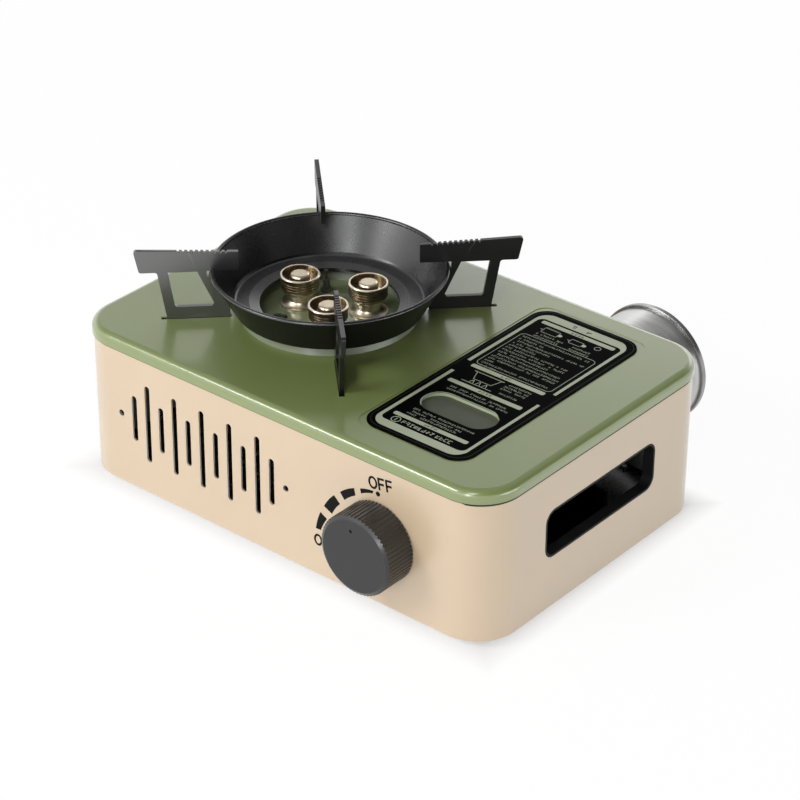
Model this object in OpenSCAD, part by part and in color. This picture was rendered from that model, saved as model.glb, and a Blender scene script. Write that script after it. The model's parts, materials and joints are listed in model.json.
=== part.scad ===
// Butane cassette stove: a flat sheet-metal casing with one burner of three brass heads, a lift-off
// windshield pan with four pot supports, a rotary control with piezo ignition, and a gas cartridge
// that lies in a bay on the right and sticks out of the back.
// Millimetres, +Z up, front towards -Y. The origin is under the middle of the whole stove, on the table.

/* [Casing] */
// Outside width of the casing
body_w = 280; // [270:1:340]
// Outside depth of the casing
body_d = 188; // [180:1:230]
// Height of the casing that shows below the cover
body_h = 81; // [78:0.5:98]
// Radius of the upright corners
corner_r = 24; // [16:1:34]
// Thickness of the casing's and base plate's steel sheet
sheet = 1; // [0.6:0.1:1.2]
// Width of the flange turned in along the bottom
bottom_flange = 10; // [8:0.5:13]
// Width of the flange turned in along the top
top_flange = 10; // [9:0.5:12]

/* [Feet] */
// Height of the casing above the table
foot_h = 4; // [3:0.5:8]
// Radius of a rubber foot
foot_r = 8; // [6:0.5:9]
// Distance of a foot's centre from both outer faces
foot_inset = 26; // [24:1:36]

/* [Cover] */
// Height of the cover above the casing's visible edge
cover_h = 7.1; // [6:0.1:10]
// Thickness of the cover's sheet
cover_sheet = 0.8; // [0.6:0.1:1]
// Gap between the cover's skirt and the casing
cover_gap = 0.1; // [0.05:0.05:0.2]
// Radius of the cover's top edge
cover_edge = 4; // [2.5:0.5:5]

/* [Burner place] */
// Distance of the burner's centre left of the casing's middle
burner_x = 42; // [36:1:48]
// Radius of the flat floor of the dish under the burners
dish_r = 40; // [37:0.5:42]
// Depth of the dish's floor below the cover's top
dish_drop = 2; // [1:0.5:4]
// Run of the dish's sloping wall, from the floor's edge to the collar's middle
dish_wall = 5.4; // [4:0.1:7]
// Height of the collar above the cover's top
collar_h = 6; // [5:0.5:8]

/* [Windshield bowl] */
// How far the bowl's floor reaches in from the collar's middle
bowl_ledge = 8; // [6:0.1:11]
// How far the bowl's flat underside reaches out from the collar's middle
bowl_overhang = 6.3; // [4:0.1:8]
// How far the wall leans out, from the underside's edge to the rim's middle
bowl_flare = 10.9; // [8:0.1:15]
// Height of the middle of the rim above the bowl's underside
bowl_rim_h = 20.8; // [17:0.2:26]
// Thickness of the bowl's sheet
bowl_sheet = 1.5; // [1:0.1:2]
// Radius of the rolled rim's bead
rim_bead_r = 1.2; // [1:0.1:1.5]

/* [Pot supports] */
// Thickness of a support plate
plate_t = 2.4; // [1.6:0.1:3]
// How far a plate's bar reaches in from the rim's middle
bar_in = 14.5; // [10:0.1:18]
// How far a plate's tip reaches out past its foot
bar_out = 16.4; // [10:0.1:22]
// Height of the bar at its inner end
bar_h = 10.6; // [8:0.1:13]
// How much the bar's top edge climbs from its inner end to its tip
bar_climb = 2.3; // [0:0.1:4]
// Width of the outer leg
leg_w = 5.6; // [4:0.1:7]
// Length of a plate's foot, from the bowl's underside to its outer end
foot_len = 34.9; // [30:0.1:38]
// How deep the foot reaches below the cover's top
foot_depth = 5; // [3:0.5:6]
// Pitch of the grip notches in the top edge
notch_pitch = 2.8; // [2:0.1:3]
// Number of grip notches
notches = 10; // [6:1:10]

/* [Burner heads] */
// Radius of the circle through the three heads
head_circle_r = 21; // [20:0.2:24]
// Half the angle between the two heads on the cartridge's side
head_half_angle = 51; // [46:1:60]
// Outer radius of a burner crown
crown_r = 10.9; // [9:0.1:12]
// Height of the crown's top above the dish's floor
crown_top = 17.9; // [16:0.1:22]
// Height of a crown
crown_h = 9; // [7:0.1:10]
// Radius of a stem's flared base
stem_base_r = 10.6; // [9:0.1:11]
// Radius of a stem's spigot in the manifold
spigot_r = 5; // [4.5:0.1:5.5]

/* [Control] */
// Distance of the knob's axis right of the casing's middle
knob_x = 72; // [66:1:78]
// Height of the knob's axis above the casing's underside
knob_z = 37.8; // [36:0.2:44]
// Radius of the knob
knob_r = 22.4; // [19:0.2:26]
// Length of the knob
knob_len = 18.8; // [16:0.2:22]
// Gap between the knob and the casing
knob_gap = 0.7; // [0.4:0.1:1.5]
// Number of flutes around the knob
knob_flutes = 60; // [40:1:72]
// Radius of the valve spindle
spindle_r = 4; // [3:0.1:4.5]
// Turn from off to fully on
knob_turn = 110; // [90:5:120]
// Travel of the igniter's plunger over that turn
plunger_travel = 4; // [3:0.2:5]

/* [Side window] */
// Length of the window in the right side
window_w = 93; // [80:1:110]
// Height of the window
window_h = 28.4; // [24:0.2:34]
// Height of the window's middle above the casing's underside
window_z = 44; // [40:0.5:48]
// Radius of the window's corners
window_r = 7; // [4:0.5:9]
// Depth of the black liner
liner_depth = 6.4; // [4:0.2:10]
// Thickness of the liner's wall
liner_t = 1.2; // [0.8:0.1:1.6]

/* [Vent slots] */
// Pitch of the front vent slots
slot_pitch = 9.76; // [8:0.02:11]
// Width of a slot
slot_w = 3.6; // [2.5:0.1:4]
// Length of the long slots
slot_long = 46.6; // [36:0.2:50]
// Length of the short slots
slot_short = 27.6; // [20:0.2:34]
// Number of slots, counting both lengths
slots = 11; // [7:2:11]
// Distance of the slots' middle left of the casing's middle
slots_x = 49; // [46:1:60]
// Height of the slots' middle above the casing's underside
slots_z = 42.7; // [38:0.1:46]

/* [Information panel] */
// Width of the panel
panel_w = 66.6; // [56:0.2:68]
// Length of the panel
panel_l = 153.8; // [130:0.2:158]
// Radius of the panel's corners
panel_r = 11; // [8:0.5:16]
// Distance of the panel's middle from the casing's right side
panel_in = 64.3; // [60:0.1:70]
// Length of the finger recess that shows through the panel
recess_w = 45.2; // [30:0.2:48]
// Width of the finger recess
recess_d = 20; // [12:0.2:24]
// Depth of the recess below the cover's top
recess_depth = 2.3; // [1:0.1:4]
// Distance of the recess's middle in front of the panel's middle
recess_front = 36.8; // [30:0.1:44]
// Thickness of the panel
panel_t = 0.5; // [0.3:0.1:0.8]

/* [Cartridge] */
// Distance of the cartridge's axis right of the casing's middle
can_x = 78.4; // [74:0.2:84]
// Height of the cartridge's axis above the casing's underside
can_z = 44.2; // [42:0.2:48]
// Radius of the cartridge's shell
can_r = 33; // [30:0.1:34]
// How far its double seams stand out from the shell
seam_proud = 1.4; // [0.8:0.1:2]
// Length of the cartridge from base seam to collar
can_len = 185; // [180:1:188]
// How far the cartridge stands out of the back
can_proud = 39; // [34:1:46]

/* [Hidden] */

$fn = 96;
// Small overlap that makes a cut pass clean through a face
cut = 1;
// Clearance of a running fit and of a seated piece
fit = 0.05;
// Clearance between pieces that pass each other
clear = 0.4;

// Where the casing lies: the origin is under the middle of everything from knob to cartridge
casing_y = (knob_gap + knob_len - can_proud) / 2;
front_y = casing_y - body_d / 2;
back_y = casing_y + body_d / 2;
under_z = foot_h;
plate_z = under_z + sheet;
deck_z = plate_z + sheet;
skirt_z = under_z + body_h;
top_z = skirt_z + cover_h;
ceiling_z = top_z - cover_sheet;
casing_top_z = top_z - cover_edge - fit;
flange_z = casing_top_z - sheet;

// Screws
screw_r = 1.5;
screw_hole_r = screw_r + 0.2;
screw_head_r = 2.8;
screw_head_h = 1.6;
screw_point = 2;
side_screw_y = 37.6;
end_screw_x = 93.3;
cover_screw_row_x = 77.8;
cover_boss_r = 3.2;
cover_boss_bore = 2.4;

// Feet and air slots in the base plate
foot_neck_r = 3;
foot_button_r = 4.5;
foot_button_t = 1.8;
air_pitch = 14;
air_row_y = 34;
air_len = 26;
vent_dot_r = 1.8;

// Burner place
floor_z = top_z - dish_drop;
collar_r = dish_r + dish_wall;
collar_flat = 0.7;
collar_slope = 2;
collar_z = top_z + collar_h;
sight_hole_at = 26.8;
sight_hole_r = 4.2;
bowl_open_r = collar_r - bowl_ledge;
bowl_foot_r = collar_r + bowl_overhang;
bowl_rim_r = bowl_foot_r + bowl_flare;
bowl_z = collar_z;
rim_z = bowl_z + bowl_rim_h;
bar_z = rim_z + rim_bead_r + fit;
plate_gap = 0.3;
plate_slot_w = plate_t + 2 * plate_gap;
foot_reach = bowl_foot_r + foot_len;
plate_reach = foot_reach + bar_out;
plate_inner = bowl_rim_r - bar_in;
plate_slot_in = bowl_foot_r + 0.7;
plate_slot_out = foot_reach + 3.2;
plate_foot_in = plate_slot_in + 2 * plate_gap;

// Heads of the burner, as angles around the burner's centre
head_angles = [180, -head_half_angle, head_half_angle];
head_hole_r = spigot_r + 1;
manifold_h = 15;
manifold_z = floor_z - cover_sheet - manifold_h;
gas_z = manifold_z + manifold_h / 2;
arm_w = 13;
arm_end_r = 8.5;
manifold_hub_r = 13;
inlet_w = 18;
manifold_screw_at = 9.5;
manifold_screw_angles = [115, 245];
manifold_screw_len = 5;
passage_r = 3;
hub_r = 7.2;
tube_r = 6;
tube_wall = 1;
tube_in = 14;
manifold_inlet = 24;
tube_screw_r = 1.25;

// Electrode
electrode_r = 28;
electrode_angle = 135;
insulator_r = 2;
insulator_flange_r = 3.4;
insulator_flange_t = 1.5;
insulator_up = 7;
insulator_down = 9;
pin_up = 12.4;
pin_down = 13;
pin_tip_len = 2.4;

// Partition
partition_x = 28;
partition_flange = 9;

// Control
axis_z = under_z + knob_z;
spindle_hole_r = spindle_r + 1.5;
cam_t = 3;
cam_r = 9;
cam_y = front_y + sheet + 4;
housing_r = 12;
housing_front_y = cam_y + cam_t + 4;
gland_t = 2.4;
gland_r = 8;

// Cartridge
can_axis_z = under_z + can_z;
can_end_y = back_y + can_proud;
can_tip_y = can_end_y - can_len;
seam_r = can_r + seam_proud;
seam_w = 3.4;
seam_t = 1.1;
can_wall = 0.6;
collar_len = 6;
collar_outer_r = 18.6;
dome_len = 10.5;
dome_y = can_tip_y + collar_len;
shell_y = dome_y + dome_len;
notch_w = 4;
notch_depth = 3;
stem_r = 2;
back_hole_r = seam_r + 1.8;

// Regulator
socket_floor_y = can_tip_y - 1;
socket_wall = 5;
socket_rim_r = collar_outer_r + socket_wall;
flange_r = 33;
flange_t = 10;
socket_floor_t = 9;
regulator_back_y = socket_floor_y - socket_floor_t;
seal_r = 9;
seal_t = 0.7;
key_r = 1.1;
key_len = 7;
key_root = 3;
magnet_r = 4;
magnet_t = 9.6;
magnet_circle_r = 28.4;
chamber_r = 14;
chamber_x = knob_x - 34;
chamber_len = 19;
chamber_wall = 3;
chamber_depth = 10;
chamber_y = regulator_back_y - chamber_r + 0.6;
chamber_z = axis_z + 8;
neck_boss_r = 5.6;
diaphragm_t = 1.6;
diaphragm_hub_r = 9;
reg_screw_r = 1.25;
reg_screw_len = 6;
spindle_bore_len = 18;
outlet_y = socket_floor_y - 2.5;
outlet_z = can_axis_z - 19;
outlet_x = can_x - 30.6;
outlet_r = 5.5;
outlet_root_x = can_x - 20;
outlet_bore_x = can_x - 24;

// Gas pipe
pipe_r = 2.4;
pipe_bore_r = 1.4;
pipe_bend = 6;
nut_w = 5;
nut_r = 5.6;
jet_r = 4;
jet_len = 3;
jet_nose_len = 4;
jet_bore_r = 0.4;
riser_x = outlet_x - nut_w - pipe_bend - 1;
jet_x = partition_x - 6;

// Igniter
igniter_w = 11;
igniter_t = 9;
igniter_gap = 0.5;
plunger_r = 2.6;
plunger_nose_z = axis_z - cam_r - clear;
igniter_top_z = plunger_nose_z - plunger_travel - 4;
igniter_y = cam_y + cam_t / 2;

// Cradle
saddle_t = 1.6;
cradle_t = 1.2;
cradle_w = 78;
saddle_front_y = shell_y + seam_w / 2;
saddle_rear_y = casing_y + 37;
saddle_drop = 22;
cradle_tab = 12;
cradle_land = 4;
cradle_open_w = 44;
cradle_screws_x = [-34, -18, 18, 34];

// Axes of the four support plates around the burner
module around_burner(angle) {
    translate([-burner_x, casing_y, 0])
    rotate([0, 0, angle])
    children();
}

// Local Z points to the front, local Y up
module to_front(x, y, z) {
    translate([x, y, z])
    rotate([90, 0, 0])
    children();
}

// Local Z points to the back, local Y down
module to_back(x, y, z) {
    translate([x, y, z])
    rotate([-90, 0, 0])
    children();
}

// Local Z points to the left
module to_left(x, y, z) {
    translate([x, y, z])
    rotate([0, -90, 0])
    children();
}

// Rectangle with round corners
module round_rect(w, d, r) {
    square([w - 2 * r, d], center = true);
    square([w, d - 2 * r], center = true);
    for (sx = [-1, 1], sy = [-1, 1]) {
        translate([sx * (w / 2 - r), sy * (d / 2 - r)])
        circle(r);
    }
}

// Upright block with round corners, centred on the casing
module block(w, d, r, z0, z1) {
    translate([0, casing_y, z0])
    linear_extrude(z1 - z0)
    round_rect(w, d, r);
}

// Slot with round ends, its length along Y
module slot_2d(w, l) {
    square([w, l - w], center = true);
    for (s = [-1, 1]) {
        translate([0, s * (l - w) / 2])
        circle(w / 2);
    }
}

// Screw with a pan head: the shank points up from the head
module screw(shank_r, shank, head_r, head_h) {
    translate([0, 0, -head_h])
    cylinder(r = head_r, h = head_h);
    cylinder(r = shank_r, h = shank);
}

// ---- casing ------------------------------------------------------------------------------

// Front and back share the row of vents: long and short slots in turn, with a dot at each end
module vents_2d() {
    for (i = [0 : slots - 1]) {
        translate([(i - (slots - 1) / 2) * slot_pitch, 0])
        slot_2d(slot_w, i % 2 == 0 ? slot_short : slot_long);
    }
    for (s = [-1, 1]) {
        translate([s * ((slots - 1) / 2 + 1) * slot_pitch, 0])
        circle(r = vent_dot_r);
    }
}

module window_cut(w, h, r, x0, x1) {
    translate([x0, casing_y, under_z + window_z])
    rotate([90, 0, 90])
    linear_extrude(x1 - x0)
    round_rect(w, h, r);
}

base_screw_x = body_w / 2 - sheet - bottom_flange / 2;
base_screw_y = body_d / 2 - sheet - bottom_flange / 2;

module at_base_screws(z) {
    for (sx = [-1, 1], sy = [-1, 1]) {
        translate([sx * base_screw_x, casing_y + sy * side_screw_y, z])
        children();
        translate([sx * end_screw_x, casing_y + sy * base_screw_y, z])
        children();
    }
}

cover_screw_x = body_w / 2 - sheet - top_flange / 2;
cover_screw_y = body_d / 2 - sheet - top_flange / 2;

module at_cover_screws(z) {
    for (s = [-1, 1]) {
        translate([s * cover_screw_x, casing_y, z])
        children();
        for (sx = [-1, 1]) {
            translate([sx * cover_screw_row_x, casing_y + s * cover_screw_y, z])
            children();
        }
    }
}

module lower_casing() {
    color("bisque")
    difference() {
        block(body_w, body_d, corner_r, under_z, casing_top_z);
        block(body_w - 2 * sheet, body_d - 2 * sheet, corner_r - sheet, under_z + sheet, flange_z);
        block(body_w - 2 * sheet - 2 * bottom_flange, body_d - 2 * sheet - 2 * bottom_flange,
            corner_r - sheet - bottom_flange, under_z - cut, under_z + sheet + cut);
        block(body_w - 2 * sheet - 2 * top_flange, body_d - 2 * sheet - 2 * top_flange,
            corner_r - sheet - top_flange, flange_z - cut, casing_top_z + cut);
        to_front(-slots_x, front_y + sheet + cut, under_z + slots_z)
        linear_extrude(sheet + 2 * cut)
        vents_2d();
        to_back(-slots_x, back_y - sheet - cut, under_z + slots_z)
        linear_extrude(sheet + 2 * cut)
        vents_2d();
        to_front(knob_x, front_y + sheet + cut, axis_z)
        cylinder(r = spindle_hole_r, h = sheet + 2 * cut);
        to_back(can_x, back_y - sheet - cut, can_axis_z)
        cylinder(r = back_hole_r, h = sheet + 2 * cut);
        window_cut(window_w, window_h, window_r, body_w / 2 - sheet - cut, body_w / 2 + cut);
        at_base_screws(under_z - cut)
        cylinder(r = screw_hole_r, h = sheet + 2 * cut);
        at_cover_screws(flange_z - cut)
        cylinder(r = screw_hole_r, h = sheet + 2 * cut);
    }
}

module at_feet(z) {
    for (sx = [-1, 1], sy = [-1, 1]) {
        translate([sx * (body_w / 2 - foot_inset), casing_y + sy * (body_d / 2 - foot_inset), z])
        children();
    }
}

// Two rows of air slots under the burner
module floor_slots_2d() {
    for (row = [-1, 1], i = [-2 : 2]) {
        translate([-burner_x + i * air_pitch, row * air_row_y])
        slot_2d(slot_w, air_len);
    }
}

module at_cradle_screws(z) {
    for (x = cradle_screws_x, y = [saddle_front_y, saddle_rear_y]) {
        translate([can_x + x, y + cradle_tab / 2, z])
        children();
    }
}

module base_plate() {
    color("dimgray")
    difference() {
        block(body_w - 2 * sheet - 2 * clear, body_d - 2 * sheet - 2 * clear,
            corner_r - sheet - clear, plate_z, deck_z);
        at_base_screws(plate_z - cut)
        cylinder(r = screw_r + fit, h = sheet + 2 * cut);
        at_feet(plate_z - cut)
        cylinder(r = foot_neck_r + fit, h = sheet + 2 * cut);
        at_cradle_screws(plate_z - cut)
        cylinder(r = screw_r + fit, h = sheet + 2 * cut);
        translate([0, casing_y, plate_z - cut])
        linear_extrude(sheet + 2 * cut)
        floor_slots_2d();
    }
}

// Each foot is pushed through the base plate and held by the button on its neck
module rubber_feet() {
    color("black")
    at_feet(0) {
        cylinder(r = foot_r, h = plate_z);
        translate([0, 0, plate_z])
        cylinder(r = foot_neck_r, h = sheet + fit);
        translate([0, 0, deck_z + fit])
        cylinder(r = foot_button_r, h = foot_button_t);
    }
}

module base_screws() {
    color("silver")
    at_base_screws(under_z)
    screw(screw_r, 2 * sheet + screw_point, screw_head_r, screw_head_h);
}

// ---- cover -------------------------------------------------------------------------------

// Half section of an upright wall r wide whose outer top corner is rounded to e
module edge_2d(r, h, e) {
    difference() {
        square([r, h]);
        translate([r - e, h - e])
        difference() {
            square([2 * e, 2 * e]);
            circle(e);
        }
    }
}

// Block with round upright corners and a rounded top edge, centred on the casing
module crowned_block(w, d, r, h, e) {
    in_w = w - 2 * r;
    in_d = d - 2 * r;
    translate([0, 0, h / 2])
    cube([in_w, in_d, h], center = true);
    for (a = [0, 180]) {
        rotate([0, 0, a])
        translate([in_w / 2, in_d / 2, 0])
        rotate([90, 0, 0])
        linear_extrude(in_d)
        edge_2d(r, h, e);
        rotate([0, 0, a + 90])
        translate([in_d / 2, in_w / 2, 0])
        rotate([90, 0, 0])
        linear_extrude(in_w)
        edge_2d(r, h, e);
    }
    for (sx = [0, 1], sy = [0, 1]) {
        mirror([sx, 0, 0])
        mirror([0, sy, 0])
        translate([in_w / 2, in_d / 2, 0])
        rotate_extrude(angle = 90)
        edge_2d(r, h, e);
    }
}

// Half section of the dish's floor, its sloping wall and the raised collar around it
module dish_2d() {
    s = cover_sheet;
    inner = collar_r - collar_flat;
    outer = collar_r + collar_flat;
    foot = outer + collar_slope;
    polygon([
        [0, floor_z - s], [dish_r + 0.4, floor_z - s], [inner + s * 0.7, collar_z - s],
        [outer - s * 0.7, collar_z - s], [foot - s, ceiling_z], [foot + 2, ceiling_z],
        [foot + 2, top_z], [foot, top_z], [outer, collar_z], [inner, collar_z],
        [dish_r, floor_z], [0, floor_z]]);
}

dish_hole_r = collar_r + 4;

module top_cover() {
    over = cover_gap + cover_sheet;
    color("darkseagreen")
    difference() {
        union() {
            difference() {
                translate([0, casing_y, skirt_z])
                crowned_block(body_w + 2 * over, body_d + 2 * over, corner_r + over,
                    cover_h, cover_edge);
                translate([0, casing_y, skirt_z - cut])
                crowned_block(body_w + 2 * cover_gap, body_d + 2 * cover_gap, corner_r + cover_gap,
                    cover_h - cover_sheet + cut, cover_edge - cover_sheet);
                around_burner(0)
                translate([0, 0, skirt_z])
                cylinder(r = dish_hole_r, h = cover_h + cut);
                panel_seat();
            }
            around_burner(0)
            rotate_extrude()
            dish_2d();
            at_cover_screws(casing_top_z)
            cylinder(r = cover_boss_r, h = ceiling_z + cover_sheet / 2 - casing_top_z);
            recess_block(cover_sheet, top_z - recess_depth - cover_sheet, ceiling_z + cover_sheet / 2);
        }
        recess_block(0, top_z - recess_depth, top_z + cut);
        at_cover_screws(casing_top_z - cut)
        cylinder(r = screw_r + fit, h = cover_boss_bore + cut);
        for (a = [45, 135, 225, 315]) {
            around_burner(a)
            translate([plate_slot_in, -plate_slot_w / 2, skirt_z])
            cube([plate_slot_out - plate_slot_in, plate_slot_w, cover_h + cut]);
        }
        for (a = head_angles) {
            around_burner(a)
            translate([head_circle_r, 0, floor_z - 2 * cover_sheet])
            cylinder(r = head_hole_r, h = 4 * cover_sheet);
        }
        around_burner(electrode_angle)
        translate([electrode_r, 0, floor_z - 2 * cover_sheet])
        cylinder(r = insulator_r + fit, h = 4 * cover_sheet);
        around_burner(225)
        translate([sight_hole_at, 0, floor_z - 2 * cover_sheet])
        cylinder(r = sight_hole_r, h = 4 * cover_sheet);
        at_manifold_screws(floor_z - 2 * cover_sheet)
        cylinder(r = screw_r + 0.2, h = 4 * cover_sheet);
    }
}

module cover_screws() {
    color("silver")
    at_cover_screws(flange_z)
    screw(screw_r, sheet + screw_point + 0.2, screw_head_r, screw_head_h);
}

panel_x = body_w / 2 - panel_in;
panel_y = casing_y + 1;
panel_depth = 0.3;
panel_margin_x = 1.8;
panel_margin_y = 2.3;
recess_rim = 0.15;
recess_pad_t = 0.3;

module panel_seat() {
    translate([panel_x, panel_y, top_z - panel_depth])
    linear_extrude(cut)
    round_rect(panel_w + 2 * panel_margin_x, panel_l + 2 * panel_margin_y, panel_r - 3);
}

// Upright block with the outline of the finger recess, grown all round
module recess_block(grow, z0, z1) {
    translate([panel_x, panel_y - recess_front, z0])
    rotate([0, 0, 90])
    linear_extrude(z1 - z0)
    slot_2d(recess_d + 2 * grow, recess_w + 2 * grow);
}

module information_panel() {
    color("black")
    difference() {
        translate([panel_x, panel_y, top_z - panel_depth])
        linear_extrude(panel_t)
        round_rect(panel_w, panel_l, panel_r);
        recess_block(recess_rim, top_z - panel_depth - cut, top_z + cut);
    }
}

// Thin plate that lines the floor of the finger recess
module recess_pad() {
    color("dimgray")
    recess_block(-fit, top_z - recess_depth, top_z - recess_depth + recess_pad_t);
}

// Black lining of the window: a tube in the cut-out with a flange behind the casing's wall
module window_liner() {
    w = window_w - 2 * fit;
    h = window_h - 2 * fit;
    lip = 3;
    inner_x = body_w / 2 - liner_depth;
    color("black")
    difference() {
        union() {
            window_cut(w, h, window_r - fit, inner_x, body_w / 2);
            window_cut(w + 2 * lip, h + 2 * lip, window_r + lip,
                body_w / 2 - sheet - liner_t, body_w / 2 - sheet);
        }
        window_cut(w - 2 * liner_t, h - 2 * liner_t, window_r - liner_t,
            inner_x - cut, body_w / 2 + cut);
    }
}

// ---- inside the casing -------------------------------------------------------------------

partition_d = body_d - 2 * sheet - 1;

// Sheet between the burner and the cartridge, standing on its turned foot
module partition() {
    tall = flange_z - 1 - deck_z;
    color("silver")
    difference() {
        translate([partition_x, casing_y - partition_d / 2, deck_z]) {
            cube([sheet, partition_d, tall]);
            translate([-partition_flange, 0, 0])
            cube([partition_flange + sheet, partition_d, sheet]);
        }
        to_left(partition_x + sheet + cut, casing_y, gas_z)
        cylinder(r = pipe_r + 1, h = sheet + 2 * cut);
    }
}

// Saddles that carry the cartridge by its seam, on a strip screwed to the base plate
module cartridge_cradle() {
    top = can_axis_z - saddle_drop;
    color([0.12, 0.12, 0.12])
    difference() {
        union() {
            translate([can_x - cradle_w / 2, saddle_front_y - saddle_t / 2, deck_z])
            cube([cradle_w, saddle_rear_y - saddle_front_y + saddle_t + cradle_tab, cradle_t]);
            for (y = [saddle_front_y, saddle_rear_y]) {
                translate([can_x - cradle_w / 2, y - saddle_t / 2, deck_z])
                cube([cradle_w, saddle_t, top - deck_z]);
            }
        }
        to_back(can_x, saddle_front_y - saddle_t, can_axis_z)
        cylinder(r = seam_r + clear, h = saddle_rear_y - saddle_front_y + 2 * saddle_t);
        translate([can_x - cradle_open_w / 2, saddle_front_y + cradle_tab + cradle_land, deck_z - cut])
        cube([cradle_open_w, saddle_rear_y - saddle_front_y - cradle_tab - 2 * cradle_land,
            cradle_t + 2 * cut]);
        at_cradle_screws(deck_z - cut)
        cylinder(r = screw_hole_r, h = cradle_t + 2 * cut);
    }
}

module cradle_screws() {
    color("silver")
    at_cradle_screws(deck_z + cradle_t)
    mirror([0, 0, 1])
    screw(screw_r, cradle_t + sheet + 0.6, screw_head_r, screw_head_h);
}

// ---- regulator ---------------------------------------------------------------------------

module magnet_places() {
    for (a = [60, 180, 300]) {
        to_back(can_x, socket_floor_y + 1, can_axis_z)
        rotate([0, 0, a])
        translate([magnet_circle_r, 0, 0])
        children();
    }
}

module regulator_body() {
    color("darkgray")
    difference() {
        union() {
            to_back(can_x, regulator_back_y, can_axis_z)
            cylinder(r = flange_r, h = flange_t);
            to_back(can_x, regulator_back_y, can_axis_z)
            cylinder(r = socket_rim_r, h = can_tip_y + collar_len - 1 - regulator_back_y);
            to_back(knob_x, housing_front_y, axis_z)
            cylinder(r = housing_r, h = regulator_back_y - housing_front_y + 1);
            to_left(chamber_x + chamber_len, chamber_y, chamber_z)
            cylinder(r = chamber_r, h = chamber_len);
            to_left(knob_x - 5, chamber_y, chamber_z)
            cylinder(r = neck_boss_r, h = knob_x - 5 - chamber_x - 1);
            to_left(outlet_root_x, outlet_y, outlet_z)
            cylinder(r = outlet_r, h = outlet_root_x - outlet_x);
        }
        to_back(can_x, socket_floor_y, can_axis_z)
        cylinder(r = collar_outer_r + clear, h = 2 * collar_len);
        to_back(can_x, socket_floor_y - 4, can_axis_z)
        cylinder(r = stem_r + clear, h = 5);
        to_back(knob_x, housing_front_y - cut, axis_z)
        cylinder(r = spindle_r + fit, h = spindle_bore_len + cut);
        to_left(chamber_x + chamber_depth, chamber_y, chamber_z)
        cylinder(r = chamber_r - chamber_wall, h = chamber_depth + cut);
        to_left(outlet_bore_x, outlet_y, outlet_z)
        cylinder(r = pipe_bore_r, h = outlet_bore_x - outlet_x + cut);
        magnet_places()
        cylinder(r = magnet_r + fit, h = magnet_t);
        locating_key_shape(fit);
        at_regulator_screws()
        cylinder(r = reg_screw_r + fit, h = reg_screw_len);
    }
}

// Pin in the socket's floor that the notch in the cartridge's collar has to meet
module locating_key_shape(grow) {
    to_back(can_x, socket_floor_y - key_root, can_axis_z + collar_outer_r - notch_depth / 2)
    cylinder(r = key_r + grow, h = key_len);
}

module locating_key() {
    color("silver")
    locating_key_shape(0);
}

module at_regulator_screws() {
    for (a = [45 : 90 : 315]) {
        translate([chamber_x - diaphragm_t, chamber_y, chamber_z])
        rotate([a, 0, 0])
        translate([0, 0, chamber_r - 2])
        rotate([0, 90, 0])
        children();
    }
}

module diaphragm_cover() {
    color("gray")
    difference() {
        union() {
            to_left(chamber_x, chamber_y, chamber_z)
            cylinder(r = chamber_r, h = diaphragm_t);
            to_left(chamber_x - diaphragm_t, chamber_y, chamber_z)
            cylinder(r = diaphragm_hub_r, h = diaphragm_t);
        }
        at_regulator_screws()
        translate([0, 0, -cut])
        cylinder(r = reg_screw_r + 0.15, h = diaphragm_t + 2 * cut);
    }
}

module regulator_screws() {
    color("silver")
    at_regulator_screws()
    screw(reg_screw_r, reg_screw_len, 1.9, 1.2);
}

module gland_nut() {
    color("goldenrod")
    difference() {
        to_front(knob_x, housing_front_y, axis_z)
        cylinder(r = gland_r, h = gland_t, $fn = 6);
        to_front(knob_x, housing_front_y + cut, axis_z)
        cylinder(r = spindle_r + fit, h = gland_t + 2 * cut);
    }
}

module socket_seal() {
    color("black")
    difference() {
        to_back(can_x, socket_floor_y, can_axis_z)
        cylinder(r = seal_r, h = seal_t);
        to_back(can_x, socket_floor_y - cut, can_axis_z)
        cylinder(r = stem_r + clear, h = seal_t + 2 * cut);
    }
}

module holding_magnets() {
    color("gray")
    magnet_places()
    cylinder(r = magnet_r, h = magnet_t);
}

// Angle bracket that carries the regulator on the base plate
module regulator_bracket() {
    width = 40;
    bracket_top_z = can_axis_z - 4;
    toe = 16;
    color("silver")
    difference() {
        union() {
            translate([can_x - width / 2, regulator_back_y - cradle_t, deck_z])
            cube([width, cradle_t, bracket_top_z - deck_z]);
            translate([can_x - width / 2, regulator_back_y - cradle_t, deck_z])
            cube([width, toe, cradle_t]);
        }
        to_back(knob_x, regulator_back_y - 3, axis_z)
        cylinder(r = housing_r + fit, h = 6);
    }
}

// ---- gas train ---------------------------------------------------------------------------

// Quarter bend of the pipe's section in the local XY plane, from [bend, 0] to [0, bend]
module pipe_bend_solid(r) {
    rotate_extrude(angle = 90)
    translate([pipe_bend, 0])
    circle(r);
}

run_y = casing_y - pipe_bend;

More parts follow.
